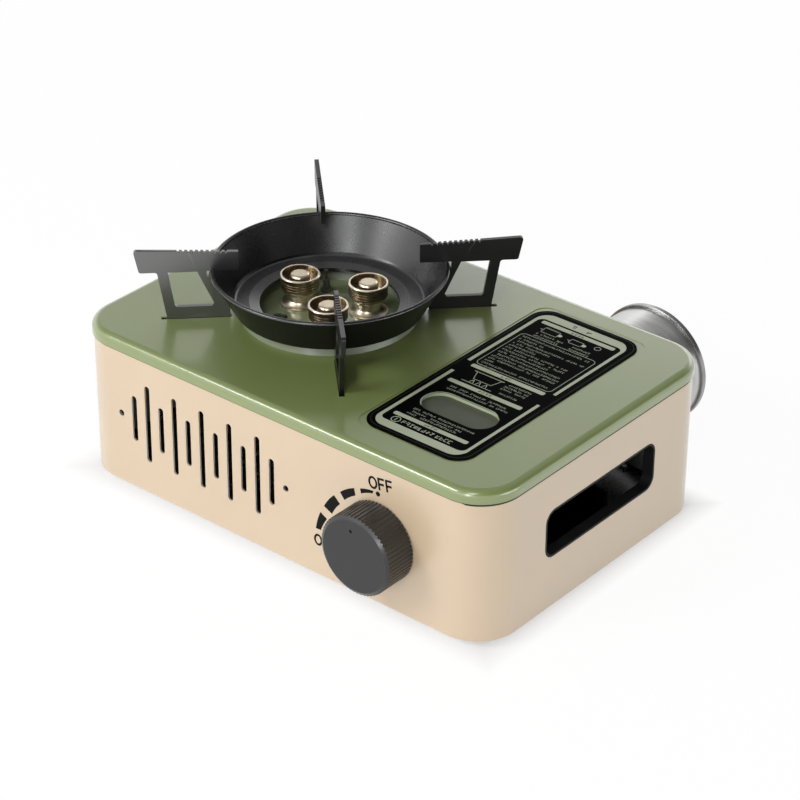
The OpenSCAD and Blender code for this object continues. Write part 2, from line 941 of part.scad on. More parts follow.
module pipe_path(r) {
    to_left(outlet_x, outlet_y, outlet_z)
    cylinder(r = r, h = outlet_x - riser_x - pipe_bend);
    translate([riser_x + pipe_bend, outlet_y, outlet_z + pipe_bend])
    rotate([90, 0, 0])
    rotate([0, 0, 180])
    pipe_bend_solid(r);
    translate([riser_x, outlet_y, outlet_z + pipe_bend])
    cylinder(r = r, h = gas_z - outlet_z - 2 * pipe_bend);
    translate([riser_x, outlet_y + pipe_bend, gas_z - pipe_bend])
    rotate([0, -90, 0])
    rotate([0, 0, -90])
    pipe_bend_solid(r);
    to_back(riser_x, outlet_y + pipe_bend, gas_z)
    cylinder(r = r, h = run_y - outlet_y - pipe_bend);
    translate([riser_x - pipe_bend, run_y, gas_z])
    pipe_bend_solid(r);
    to_left(riser_x - pipe_bend, casing_y, gas_z)
    cylinder(r = r, h = riser_x - pipe_bend - jet_x);
}

module gas_pipe() {
    color("goldenrod")
    difference() {
        pipe_path(pipe_r);
        pipe_path(pipe_bore_r);
    }
}

module pipe_nut(x, y, z) {
    difference() {
        to_left(x, y, z)
        cylinder(r = nut_r, h = nut_w, $fn = 6);
        to_left(x + cut, y, z)
        cylinder(r = pipe_r + fit, h = nut_w + 2 * cut);
    }
}

module pipe_nuts() {
    color("darkgoldenrod") {
        pipe_nut(outlet_x, outlet_y, outlet_z);
        pipe_nut(jet_x + nut_w, casing_y, gas_z);
    }
}

// Jet that blows the gas into the mouth of the mixing tube
module gas_jet() {
    color("goldenrod")
    difference() {
        union() {
            to_left(jet_x, casing_y, gas_z)
            cylinder(r = jet_r, h = jet_len);
            to_left(jet_x - jet_len, casing_y, gas_z)
            cylinder(r1 = jet_r - 1, r2 = jet_bore_r + 1, h = jet_nose_len);
        }
        to_left(jet_x + cut, casing_y, gas_z)
        cylinder(r = jet_bore_r, h = jet_len + jet_nose_len + 2 * cut);
    }
}

tube_end_x = -burner_x + tube_in;
mouth_x = jet_x - 1;

// Mixing tube: bored through, with a wider mouth that holds the jet and takes in air
module mixing_tube() {
    mouth_r = tube_r + 1.6;
    mouth_len = 14;
    port = [6, 6, 5];
    color("silver")
    difference() {
        union() {
            to_left(mouth_x, casing_y, gas_z)
            cylinder(r = tube_r, h = mouth_x - tube_end_x);
            to_left(mouth_x, casing_y, gas_z)
            cylinder(r = mouth_r, h = mouth_len);
        }
        to_left(mouth_x + cut, casing_y, gas_z)
        cylinder(r = tube_r - tube_wall, h = mouth_x - tube_end_x + 2 * cut);
        for (s = [-1, 1]) {
            translate([mouth_x - mouth_len / 2 - 1, casing_y + s * mouth_r, gas_z])
            cube(port, center = true);
        }
    }
}

module manifold_2d() {
    circle(r = manifold_hub_r);
    for (a = head_angles) {
        rotate(a) {
            translate([0, -arm_w / 2])
            square([head_circle_r, arm_w]);
            translate([head_circle_r, 0])
            circle(r = arm_end_r);
        }
    }
    translate([0, -inlet_w / 2])
    square([manifold_inlet, inlet_w]);
}

module at_manifold_screws(z) {
    around_burner(0)
    for (a = manifold_screw_angles) {
        rotate([0, 0, a])
        translate([manifold_screw_at, 0, z])
        children();
    }
}

// Cast branch piece under the dish: one inlet, three outlets
module manifold() {
    color("lightgray")
    difference() {
        around_burner(0)
        translate([0, 0, manifold_z])
        linear_extrude(manifold_h)
        manifold_2d();
        around_burner(0)
        translate([tube_in, 0, gas_z])
        rotate([0, 90, 0])
        cylinder(r = tube_r + fit, h = manifold_inlet);
        around_burner(0)
        translate([0, 0, gas_z - hub_r / 2])
        cylinder(r = hub_r, h = hub_r);
        around_burner(0)
        translate([hub_r - 1, 0, gas_z])
        rotate([0, 90, 0])
        cylinder(r = passage_r, h = tube_in - hub_r + 2);
        for (a = head_angles) {
            around_burner(a)
            translate([hub_r - 1, 0, gas_z])
            rotate([0, 90, 0])
            cylinder(r = passage_r, h = head_circle_r - hub_r);
            around_burner(a)
            translate([head_circle_r, 0, gas_z - passage_r - 1])
            cylinder(r = spigot_r + fit, h = manifold_h);
        }
        at_manifold_screws(manifold_z + manifold_h - manifold_screw_len)
        cylinder(r = tube_screw_r + fit, h = manifold_screw_len + cut);
    }
}

module manifold_screws() {
    color("silver")
    at_manifold_screws(floor_z)
    mirror([0, 0, 1])
    screw(tube_screw_r, cover_sheet + manifold_screw_len - 1, screw_head_r - 0.4, 1.3);
}

// ---- burner heads ------------------------------------------------------------------------

crown_z = floor_z + crown_top - crown_h;
neck_r = 7.2;
seat_r = neck_r + 2;
peg_r = 6.4;
neck_top_z = crown_z + 4.4;
flare = stem_base_r - neck_r;
flare_z = floor_z + 1;
flare_h = (crown_z - 3 - flare_z) * 0.5;

// Stem: spigot, flared base, waist, and the neck that carries the crown
module burner_stem(i) {
    around_burner(head_angles[i])
    translate([head_circle_r, 0, 0])
    rotate_extrude()
    difference() {
        polygon(concat(
            [[0, floor_z - 7.5], [spigot_r, floor_z - 7.5], [spigot_r, floor_z]],
            [[stem_base_r, floor_z], [stem_base_r, floor_z + 0.7]],
            [for (i = [0 : 5]) [stem_base_r - flare * i / 5, flare_z + flare_h * pow(i / 5, 2)]],
            [[neck_r, crown_z - 1.9], [seat_r - 0.5, crown_z - 1.4], [seat_r, crown_z - 0.9]],
            [[seat_r, crown_z], [peg_r, crown_z], [peg_r, neck_top_z], [0, neck_top_z]]));
        translate([0, floor_z - 8])
        square([passage_r, neck_top_z - floor_z + 9]);
    }
}

groove_z = crown_z + 4.6;
crown_wall = 1.2;

// Crown: a cup with a grooved skirt that sits on the stem's neck
module burner_crown(i) {
    groove = 0.4;
    around_burner(head_angles[i])
    translate([head_circle_r, 0, 0])
    rotate_extrude()
    difference() {
        polygon([
            [0, crown_z], [seat_r, crown_z], [crown_r - 0.7, crown_z + 1.4],
            [crown_r - 0.4, crown_z + 2.2], [crown_r - 0.4, crown_z + crown_h - 2.2],
            [crown_r, crown_z + crown_h - 1.6], [crown_r, crown_z + crown_h - 0.4],
            [crown_r - 0.4, crown_z + crown_h], [0, crown_z + crown_h]]);
        translate([0, groove_z])
        square([crown_r - crown_wall, crown_h]);
        translate([0, crown_z - cut])
        square([peg_r + fit, crown_h]);
        for (z = [2.6, 4.2, 5.6]) {
            translate([crown_r - 0.4 - groove, crown_z + z])
            square([crown_r, 0.6]);
        }
    }
}

button_r = 5.4;

// Button: the bright cap in the middle, on a peg in the stem's bore
module burner_button(i) {
    top = crown_z + crown_h + 0.3;
    around_burner(head_angles[i])
    translate([head_circle_r, 0, 0])
    rotate_extrude()
    polygon([
        [0, neck_top_z - 3], [passage_r - fit, neck_top_z - 3], [passage_r - fit, neck_top_z + 0.3],
        [button_r - 0.8, neck_top_z + 0.3], [button_r, neck_top_z + 1.2], [button_r, top - 1.2],
        [button_r - 0.5, top - 0.4], [button_r - 1.4, top], [0, top]]);
}

module burner_stem_1() { color("goldenrod") burner_stem(0); }
module burner_stem_2() { color("goldenrod") burner_stem(1); }
module burner_stem_3() { color("goldenrod") burner_stem(2); }
module burner_crown_1() { color("darkgoldenrod") burner_crown(0); }
module burner_crown_2() { color("darkgoldenrod") burner_crown(1); }
module burner_crown_3() { color("darkgoldenrod") burner_crown(2); }
module burner_button_1() { color("wheat") burner_button(0); }
module burner_button_2() { color("wheat") burner_button(1); }
module burner_button_3() { color("wheat") burner_button(2); }

// ---- ignition ----------------------------------------------------------------------------

pin_r = 0.7;

module at_electrode(z) {
    around_burner(electrode_angle)
    translate([electrode_r, 0, z])
    children();
}

module electrode_insulator() {
    color("white")
    at_electrode(0)
    rotate_extrude()
    difference() {
        polygon([
            [0, floor_z - insulator_down], [insulator_r, floor_z - insulator_down],
            [insulator_r, floor_z], [insulator_flange_r, floor_z],
            [insulator_flange_r, floor_z + insulator_flange_t],
            [insulator_r, floor_z + insulator_flange_t],
            [insulator_r, floor_z + insulator_up], [0, floor_z + insulator_up]]);
        translate([0, floor_z - insulator_down - cut])
        square([pin_r + fit, insulator_down + insulator_up + 2 * cut]);
    }
}

module electrode_pin() {
    color("dimgray")
    at_electrode(0) {
        translate([0, 0, floor_z - pin_down])
        cylinder(r = pin_r, h = pin_down + pin_up - pin_tip_len);
        translate([0, 0, floor_z + pin_up - pin_tip_len])
        cylinder(r = pin_r + 0.5, h = pin_tip_len);
    }
}

igniter_bore_len = igniter_top_z - deck_z - 6;

module piezo_igniter() {
    color("black")
    difference() {
        translate([knob_x - igniter_w / 2, igniter_y - igniter_t / 2, deck_z])
        cube([igniter_w, igniter_t, igniter_top_z - deck_z]);
        translate([knob_x, igniter_y, igniter_top_z - igniter_bore_len])
        cylinder(r = plunger_r + fit, h = igniter_bore_len + cut);
    }
}

// Clip around the igniter's sides and back, with a foot on the base plate at each side
module igniter_bracket() {
    reach = 9;
    t = 1;
    color("silver")
    difference() {
        translate([knob_x, igniter_y - igniter_t / 2, deck_z]) {
            translate([-igniter_w / 2 - t - reach, 0, 0])
            cube([igniter_w + 2 * t + 2 * reach, igniter_t + t, t]);
            translate([-igniter_w / 2 - t, 0, 0])
            cube([igniter_w + 2 * t, igniter_t + t, igniter_top_z - 6 - deck_z]);
        }
        translate([knob_x - igniter_w / 2, igniter_y - igniter_t / 2 - cut, deck_z - cut])
        cube([igniter_w, igniter_t + cut, igniter_top_z - deck_z]);
    }
}

module igniter_plunger() {
    nose_r = 1.6;
    nose_len = 1.4;
    low_z = igniter_top_z - igniter_bore_len + plunger_travel + 1;
    shoulder_z = plunger_nose_z - nose_r - nose_len;
    color("ivory") {
        translate([knob_x, igniter_y, plunger_nose_z - nose_r])
        difference() {
            sphere(nose_r);
            translate([0, 0, -2 * nose_r])
            cube(4 * nose_r, center = true);
        }
        translate([knob_x, igniter_y, shoulder_z])
        cylinder(r = nose_r, h = nose_len);
        translate([knob_x, igniter_y, low_z])
        cylinder(r = plunger_r, h = shoulder_z - low_z);
    }
}

// ---- control -----------------------------------------------------------------------------

knob_back_y = front_y - knob_gap;
face_r = knob_r - 2;
face_t = 1.6;
face_fit_r = face_r - 0.7;
shaft_in_knob = 11;
knob_wall = 3;
flute_r = 0.75;
dimple_at = [-2, 14];
dimple_r = 1;
dimple_depth = 0.6;

module knob() {
    chamfer = 1.3;
    color([0.22, 0.2, 0.19])
    to_front(knob_x, knob_back_y, axis_z)
    difference() {
        rotate_extrude()
        polygon([
            [0, 0], [knob_r, 0], [knob_r, knob_len - chamfer], [face_r, knob_len],
            [0, knob_len]]);
        for (i = [0 : knob_flutes - 1]) {
            rotate([0, 0, i * 360 / knob_flutes])
            translate([knob_r + 0.2, 0, -cut])
            cylinder(r = flute_r, h = knob_len + 2 * cut, $fn = 16);
        }
        translate([0, 0, knob_len - face_t])
        cylinder(r = face_fit_r, h = face_t + cut);
        translate([0, 0, -cut])
        difference() {
            cylinder(r = knob_r - knob_wall, h = knob_len - face_t - 2 + cut);
            cylinder(r = spindle_r + knob_wall, h = knob_len);
        }
        translate([0, 0, -cut])
        spindle_section(shaft_in_knob + fit + cut, fit);
    }
}

// Round shaft with a flat, the flat facing down at rest
module spindle_section(len, grow) {
    difference() {
        cylinder(r = spindle_r + grow, h = len);
        translate([-spindle_r * 2, -spindle_r * 3 + 1 - grow, -cut])
        cube([spindle_r * 4, spindle_r * 2, len + 2 * cut]);
    }
}

module knob_face() {
    color([0.3, 0.3, 0.31])
    to_front(knob_x, knob_back_y - knob_len + face_t, axis_z)
    difference() {
        cylinder(r = face_fit_r - fit, h = face_t);
        translate([dimple_at[0], dimple_at[1], face_t - dimple_depth])
        cylinder(r = dimple_r, h = dimple_depth + cut);
    }
}

spindle_end_y = housing_front_y + spindle_bore_len - 2;

module valve_spindle() {
    color("goldenrod")
    to_front(knob_x, spindle_end_y, axis_z)
    difference() {
        cylinder(r = spindle_r, h = spindle_end_y - knob_back_y + shaft_in_knob);
        translate([0, 0, spindle_end_y - knob_back_y + shaft_in_knob])
        mirror([0, 0, 1])
        difference() {
            translate([0, 0, -cut])
            cylinder(r = 2 * spindle_r, h = shaft_in_knob + knob_gap + cut);
            translate([0, 0, -2 * cut])
            spindle_section(shaft_in_knob + knob_gap + 4 * cut, 0);
        }
    }
}

// Spiral cam: its radius grows evenly over the knob's turn, with a short level run at both ends
cam_steps = 28;
cam_dwell = 24;
cam_step = (knob_turn + 2 * cam_dwell) / cam_steps;
function cam_radius(a) = cam_r + plunger_travel * min(max(a, 0), knob_turn) / knob_turn;
function cam_point(a) = cam_radius(a) * [-sin(a), -cos(a)];

module igniter_cam() {
    color("white")
    difference() {
        to_front(knob_x, cam_y + cam_t, axis_z)
        linear_extrude(cam_t)
        union() {
            circle(cam_r - 1);
            polygon([for (i = [cam_steps : -1 : 0]) cam_point(i * cam_step - cam_dwell)]);
        }
        to_front(knob_x, cam_y + cam_t + cut, axis_z)
        cylinder(r = spindle_r + fit, h = cam_t + 2 * cut);
    }
}

// Clip that keeps the cam and the spindle in place
module shaft_clip() {
    clip_t = 1;
    clip_back_y = cam_y + cam_t + clip_t + 0.1;
    color("silver")
    difference() {
        to_front(knob_x, clip_back_y, axis_z)
        cylinder(r = spindle_r + 2.4, h = clip_t);
        to_front(knob_x, clip_back_y + cut, axis_z)
        cylinder(r = spindle_r + fit, h = clip_t + 2 * cut);
    }
}

// ---- windshield pan ----------------------------------------------------------------------

wall_rise = bowl_rim_h - 1;
wall_run = bowl_rim_r + 0.1 - bowl_foot_r;
wall_len = sqrt(wall_rise * wall_rise + wall_run * wall_run);
wall_dr = bowl_sheet * wall_rise / wall_len;
wall_dz = bowl_sheet * wall_run / wall_len;

module windshield_bowl() {
    lip_drop = 1.1;
    lip_run = 5.6;
    flat_in = bowl_open_r + lip_run;
    wall_top_r = bowl_foot_r + wall_run;
    fillet = 1.6;
    inner_foot_r = bowl_foot_r - wall_dr + (bowl_sheet - wall_dz) * wall_run / wall_rise;
    color([0.1, 0.1, 0.1])
    around_burner(0)
    rotate_extrude()
    translate([0, bowl_z]) {
        polygon([
            [bowl_open_r, -lip_drop], [flat_in, 0], [bowl_foot_r, 0],
            [wall_top_r, wall_rise], [wall_top_r - wall_dr, wall_rise + wall_dz],
            [inner_foot_r + fillet * 0.5, bowl_sheet + fillet * 0.9],
            [inner_foot_r - fillet * 0.1, bowl_sheet + fillet * 0.25],
            [inner_foot_r - fillet * 0.7, bowl_sheet],
            [flat_in, bowl_sheet], [bowl_open_r, bowl_sheet - lip_drop]]);
        translate([bowl_rim_r, bowl_rim_h])
        circle(rim_bead_r, $fn = 32);
    }
}

bar_slope = bar_climb / (plate_reach - plate_inner);
function bar_top(s) = bar_z + bar_h + (s - plate_inner) * bar_slope;

tip_r = 1.5;
tip_low = plate_reach - 2.1;
leg_top = foot_reach + 4.6;
leg_slope = (leg_top - foot_reach) / (bar_z - top_z);
function leg_outer(z) = foot_reach + (z - top_z) * leg_slope;

// Points of an arc around c, from angle a0 to a1
function arc(c, r, a0, a1, n = 5) =
    [for (i = [0 : n]) c + r * [cos(a0 + (a1 - a0) * i / n), sin(a0 + (a1 - a0) * i / n)]];

notch_start = plate_inner + 6.4;
function notch_points(i, half = notch_pitch / 4, deep = 0.9) =
    let (s = notch_start + i * notch_pitch)
    [[s + half, bar_top(s)], [s + half * 0.5, bar_top(s) - deep],
     [s - half * 0.5, bar_top(s) - deep], [s - half, bar_top(s)]];

rail_h = 7;
web_gap = 0.12;

// Outline of a support plate: distance from the burner's centre, height
module plate_2d() {
    bead_out = bowl_rim_r + rim_bead_r + 1.2;
    wall_slope = wall_run / wall_rise;
    wall_high = bowl_z + wall_rise - 1.2;
    wall_low = bowl_z + (plate_foot_in - bowl_foot_r - web_gap) / wall_slope;
    notch_run = [for (i = [notches - 1 : -1 : 0]) each notch_points(i)];
    window_top = bar_z - 0.3;
    window_low = top_z + rail_h;
    web_top = 6.2;
    web_low = 8.3;
    difference() {
        polygon(concat(
            [[plate_inner, bar_z]],
            [[bead_out, bar_z]],
            [[bead_out, wall_high]],
            [[bowl_foot_r + web_gap + (wall_high - bowl_z) * wall_slope, wall_high]],
            [[plate_foot_in, wall_low]],
            [[plate_foot_in, top_z - foot_depth]],
            [[foot_reach - 0.4, top_z - foot_depth]],
            [[foot_reach, top_z]],
            arc([leg_outer(bar_z - 1.8) + 1.6, bar_z - 1.8], 1.6, 180, 90),
            arc([tip_low - tip_r, bar_z - 0.2 + tip_r], tip_r, -90, -10),
            arc([plate_reach - tip_r, bar_top(plate_reach) - tip_r], tip_r, -10, 90),
            notch_run,
            [[plate_inner, bar_top(plate_inner)]]));
        polygon([
            [bowl_foot_r + web_top + (window_top - bowl_z) * wall_slope, window_top],
            [leg_outer(window_top) - leg_w, window_top],
            [leg_outer(window_low + 1) - leg_w, window_low + 1],
            [leg_outer(window_low) - leg_w - 1, window_low],
            [bowl_foot_r + web_low + (window_low + 2 - bowl_z) * wall_slope + 1, window_low],
            [bowl_foot_r + web_low + (window_low + 1.8 - bowl_z) * wall_slope, window_low + 1.8]]);
    }
}

module pan_support(angle) {
    color([0.13, 0.13, 0.13])
    around_burner(angle)
    rotate([90, 0, 0])
    translate([0, 0, -plate_t / 2])
    linear_extrude(plate_t)
    plate_2d();
}

module pan_support_front_left() { pan_support(225); }
module pan_support_front_right() { pan_support(315); }
module pan_support_rear_left() { pan_support(135); }
module pan_support_rear_right() { pan_support(45); }

// ---- cartridge ---------------------------------------------------------------------------

// Solid of revolution around the cartridge's axis; the section is [radius, distance behind y]
module can_revolve(y) {
    to_back(can_x, y, can_axis_z)
    rotate_extrude()
    children();
}

shell_len = can_end_y - shell_y;

module cartridge_shell() {
    color("silver")
    can_revolve(shell_y + seam_w)
    difference() {
        square([can_r, shell_len - 2 * seam_w]);
        translate([0, -cut])
        square([can_r - can_wall, shell_len]);
    }
}

// Base end: double seam and a hollow end panel with two steps
module cartridge_base() {
    in_r = seam_r - 2.2;
    color("lightgray")
    can_revolve(can_end_y - seam_w)
    polygon([
        [0, -3.2], [in_r - 9, -3.2], [in_r - 8, -1.6], [in_r - 3, -1.6], [in_r - 1.6, -2.4],
        [in_r, -2.4], [in_r, seam_w - 0.4], [in_r + 0.6, seam_w],
        [seam_r - 0.6, seam_w], [seam_r, seam_w - 0.6], [seam_r, 0.3], [seam_r - 0.5, 0],
        [can_r - can_wall - fit, 0], [can_r - can_wall - fit, -3.4], [in_r - 1.2, -3.4],
        [in_r - 3, -2.6], [in_r - 7.6, -2.6], [in_r - 8.6, -4.2], [0, -4.2]]);
}

// Shoulder: seam and dome, open in the middle for the collar
module cartridge_top() {
    hole = 12;
    color("lightgray")
    can_revolve(dome_y)
    polygon([
        [hole, 0], [hole + 4, 0], [seam_r - 4, dome_len - 2.6], [seam_r - 2.6, dome_len],
        [seam_r - 0.6, dome_len], [seam_r, dome_len + 0.6], [seam_r, dome_len + seam_w - 0.4],
        [seam_r - 0.5, dome_len + seam_w], [can_r - can_wall, dome_len + seam_w],
        [can_r - can_wall, dome_len + 0.8], [seam_r - 4.6, dome_len - 1.6], [hole + 3.6, 1],
        [hole, 1]]);
}

// Collar around the valve, with the notch that meets the regulator's key
module cartridge_collar() {
    color("lightgray")
    difference() {
        can_revolve(can_tip_y)
        polygon([
            [stem_r + 0.3, 3], [7, 3], [8, 1.4], [collar_outer_r - 3, 1.4],
            [collar_outer_r - 2.4, 0], [collar_outer_r, 0], [collar_outer_r, collar_len - 2],
            [collar_outer_r - 4, collar_len], [stem_r + 0.3, collar_len]]);
        translate([can_x - notch_w / 2, can_tip_y - cut,
            can_axis_z + collar_outer_r - notch_depth - 0.6])
        cube([notch_w, collar_len + 2 * cut, 2 * notch_depth]);
    }
}

module cartridge_stem() {
    color("ivory")
    to_back(can_x, can_tip_y - 0.2, can_axis_z)
    difference() {
        cylinder(r = stem_r, h = collar_len + 3);
        translate([0, 0, -cut])
        cylinder(r = 0.8, h = 6);
    }
}

lower_casing();
base_plate();
rubber_feet();
base_screws();
top_cover();
cover_screws();
information_panel();
recess_pad();
window_liner();
partition();
cartridge_cradle();
cradle_screws();
regulator_body();
diaphragm_cover();
regulator_screws();
gland_nut();
socket_seal();
holding_magnets();
locating_key();
regulator_bracket();
gas_pipe();
pipe_nuts();
gas_jet();
mixing_tube();
manifold();
manifold_screws();
burner_stem_1();
burner_stem_2();
burner_stem_3();
burner_crown_1();
burner_crown_2();
burner_crown_3();
burner_button_1();
burner_button_2();
burner_button_3();
electrode_insulator();
electrode_pin();
piezo_igniter();
igniter_bracket();
igniter_plunger();
knob();
knob_face();
valve_spindle();
igniter_cam();
shaft_clip();
windshield_bowl();
pan_support_front_left();
pan_support_front_right();
pan_support_rear_left();
pan_support_rear_right();
cartridge_shell();
cartridge_base();
cartridge_top();
cartridge_collar();
cartridge_stem();
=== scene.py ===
"""Butane cassette stove: materials, printed marks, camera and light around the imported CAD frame."""
import json
import math
import random

import bmesh
import bpy
from mathutils import Matrix, Vector


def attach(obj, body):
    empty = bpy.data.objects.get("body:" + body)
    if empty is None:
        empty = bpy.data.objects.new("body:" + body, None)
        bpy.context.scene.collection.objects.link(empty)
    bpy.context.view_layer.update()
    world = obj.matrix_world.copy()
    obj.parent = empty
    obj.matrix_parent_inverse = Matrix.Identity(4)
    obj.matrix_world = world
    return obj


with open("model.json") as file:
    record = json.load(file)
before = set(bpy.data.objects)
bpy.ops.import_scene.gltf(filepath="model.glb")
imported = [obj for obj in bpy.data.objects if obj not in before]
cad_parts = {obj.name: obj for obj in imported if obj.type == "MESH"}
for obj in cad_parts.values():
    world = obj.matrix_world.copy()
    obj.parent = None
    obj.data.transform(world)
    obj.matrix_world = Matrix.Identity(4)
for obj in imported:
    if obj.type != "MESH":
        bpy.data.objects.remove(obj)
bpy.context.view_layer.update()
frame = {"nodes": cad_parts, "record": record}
nodes = frame["nodes"]
MM = 0.001

# ---------------------------------------------------------------- the frame's own sizes, in millimetres
CASING_Y = -9.75                     # the casing's middle
CASING_HALF_X = 140
CASING_HALF_Y = 94
CASING_CORNER = 24
CASING_LOW = 4
FRONT_Y = -103.75
BURNER_X = -42                       # the burner, dish and pan stand round this, at CASING_Y
DISH_R = 41
COLLAR_OUT = 52
COLLAR_FOOT = 92.4                   # a cover face that reaches above this belongs to the dish's collar
PANEL_TOP = 92.3
PAN_FLOOR_TOP = 0.108                # metres
CROWN_RIM = (0.1073, 0.1077)         # metres; the crowns' painted rim highlight starts between these heights
RECESS_MIDDLE = (75.7, -45.55)
RECESS_HALF = (22.9, 10.3)
RECESS_HEIGHTS = (89.9, 91.95)
VENTS_X = -49
VENT_DOT_OUT = 58.56                 # from the vents' middle to each dot
VENT_DOT_REACH = 2.2
VENT_DOT_HEIGHTS = (44, 49.5)
SKIRT_LOW = 84.98

# ---------------------------------------------------------------- the printed layers, in millimetres
PRINT_RISE = 0.03
PRINT_SINK = -0.3                    # the underside of a layer, as a share of its rise
FAINT_RISE = 0.025
MARK_RISE = 0.05
EDGE_RISE = 0.02
MITRE_LEAST = 0.5                    # keeps the mitre at a stroke's sharp corners short

# ---------------------------------------------------------------- which faces get which finish
LOOKS_UP = 0.95                      # the least upward part of a level face's normal
RECESS_REACH = 0.4                   # how far outside the recess its rounded edge reaches, in millimetres
RECESS_STEEP = 0.7
PAN_LEVEL = 0.75
PAN_OUTWARD = -0.1                   # the pan's outside faces down at least this much
CASING_SKIN = -0.6                   # millimetres; a face deeper than this is inside the casing
CASING_BOTTOM = 4.4                  # and above this height
CUT_EDGE = (-0.95, -0.05)            # the depths between which a cut edge's middle lies; there the vent dots' edges get painted shade
SUPPORT_BEVEL = 0.18


# ---------------------------------------------------------------- camera
CAMERA_SPOT = Vector((0.847335, -1.024410, 0.834272))
CAMERA_AZIMUTH = 39.628913           # degrees; at 0 it looks along +Y
CAMERA_ELEVATION = 30.574184         # how far it looks down
CAMERA_ROLL = 0.350993
CAMERA_LENS = 129.6004               # millimetres, on a sensor 36 mm wide


def photo_camera():
    data = bpy.data.cameras.new("camera")
    data.sensor_width = 36.0
    data.lens = CAMERA_LENS
    data.clip_start = 0.05
    data.clip_end = 30.0
    camera = bpy.data.objects.new("camera", data)
    bpy.context.scene.collection.objects.link(camera)
    swing_round = Matrix.Rotation(math.radians(CAMERA_AZIMUTH), 4, "Z")
    look_down = Matrix.Rotation(math.radians(90 - CAMERA_ELEVATION), 4, "X")
    roll = Matrix.Rotation(math.radians(CAMERA_ROLL), 4, "Z")
    camera.matrix_world = Matrix.Translation(CAMERA_SPOT) @ swing_round @ look_down @ roll
    bpy.context.scene.camera = camera


# ---------------------------------------------------------------- light
AIM = Vector((0, 0, 0.05))
WHITE = (1, 1, 1)
COOL = (0.93, 0.98, 1.0)
FAINTLY_COOL = (0.97, 0.99, 1.0)
# name, azimuth, elevation, distance, size, power, colour
LAMPS = (
    ("key", -31, 37, 2.2, (1.0, 0.5), 18.3, WHITE),
    ("crown", 24, 43, 2.2, (0.6, 0.6), 5.6, WHITE),
    ("front", -8, 14, 2.6, (1.4, 0.7), 2.5, WHITE),
    ("rear", -163, 22, 2.6, (2.0, 0.6), 5.4, WHITE),
    ("corner", 16, 16, 2.6, (0.45, 1.3), 14, FAINTLY_COOL),
    ("side", 103, 3, 2.6, (1.8, 0.4), 13.5, COOL),
)
PLAIN_LEVEL = 0.91                   # the room's level for plain light
MIRROR_LEVEL = 1.32                  # and for mirrored rays
FLOOR_GLOW = 1.03
FLOOR_SHARE = 0.92                   # how much of the seen floor is its glow; the rest keeps the shadow
FLOOR_REACH = 6.0
# where the room fades: how far a ray's direction points up, to the right or back
ROOM_TOP_FADE = (0.27, 0.63)
ROOM_TOP_LEVEL = 0.24
RIGHT_FADE = (0.1, 0.55)
RIGHT_DARK = 0.95
RIGHT_PLAIN_HEIGHT = (0.14, 0.4)
RIGHT_MIRROR_HEIGHT = (0.07, 0.17)
BEHIND_FADE = (0.0, 0.4)
# where the unlit floor under the stove ends, in metres from its middle
UNLIT_END_X = (0.115, 0.15)
UNLIT_END_Y = (0.068, 0.103)


def softbox(name, azimuth, elevation, distance, size, power, tint):
    data = bpy.data.lights.new(name, "AREA")
    data.shape = "RECTANGLE"
    data.size, data.size_y = size
    data.energy = power
    data.color = tint
    lamp = bpy.data.objects.new(name, data)
    bpy.context.scene.collection.objects.link(lamp)
    az, el = math.radians(azimuth), math.radians(elevation)
    out = Vector((math.sin(az) * math.cos(el), -math.cos(az) * math.cos(el), math.sin(el)))
    lamp.location = AIM + out * distance
    lamp.rotation_euler = out.to_track_quat("Z", "Y").to_euler()
    lamp.visible_camera = False


def studio():
    """Six soft boxes, and a pale room that darkens upwards and to the right."""
    for lamp in LAMPS:
        softbox(*lamp)
    world = bpy.data.worlds.new("studio")
    bpy.context.scene.world = world
    world.use_nodes = True
    tree = world.node_tree
    tree.nodes.clear()
    path = tree.nodes.new("ShaderNodeLightPath")
    mirror = peak(tree, path.outputs["Is Glossy Ray"], path.outputs["Is Transmission Ray"])
    facing = tree.nodes.new("ShaderNodeTexCoord").outputs["Generated"]
    way = put(tree, "ShaderNodeSeparateXYZ", {0: facing})
    height = swing(tree, way.outputs["Z"], 1.0, ROOM_TOP_LEVEL, *ROOM_TOP_FADE,
                   interpolation_type="SMOOTHSTEP")
    side = swing(tree, way.outputs["X"], 0.0, RIGHT_DARK, *RIGHT_FADE)
    # mirrored, the dark right side reaches further down behind the stove; for plain light it starts higher
    above = swing(tree, way.outputs["Z"], 0.0, 1.0, *RIGHT_PLAIN_HEIGHT)
    behind = swing(tree, way.outputs["Y"], 0.0, 1.0, *BEHIND_FADE)
    high = swing(tree, way.outputs["Z"], 0.0, 1.0, *RIGHT_MIRROR_HEIGHT)
    mirrored = maths(tree, "MULTIPLY", maths(tree, "MULTIPLY", mirror, behind), high)
    above = peak(tree, above, mirrored)
    shade = maths(tree, "SUBTRACT", 1.0, maths(tree, "MULTIPLY", side, above))
    room = maths(tree, "MULTIPLY", height, shade)
    level = maths(tree, "MULTIPLY", room, swing(tree, mirror, PLAIN_LEVEL, MIRROR_LEVEL, 0.0, 1.0))
    fill = put(tree, "ShaderNodeBackground", {"Color": (1, 1, 1, 1), "Strength": level})
    white = put(tree, "ShaderNodeBackground", {"Color": (1, 1, 1, 1), "Strength": 1.0})
    both = put(tree, "ShaderNodeMixShader",
               {0: path.outputs["Is Camera Ray"], 1: fill.outputs[0], 2: white.outputs[0]})
    out = tree.nodes.new("ShaderNodeOutputWorld")
    tree.links.new(both.outputs[0], out.inputs[0])


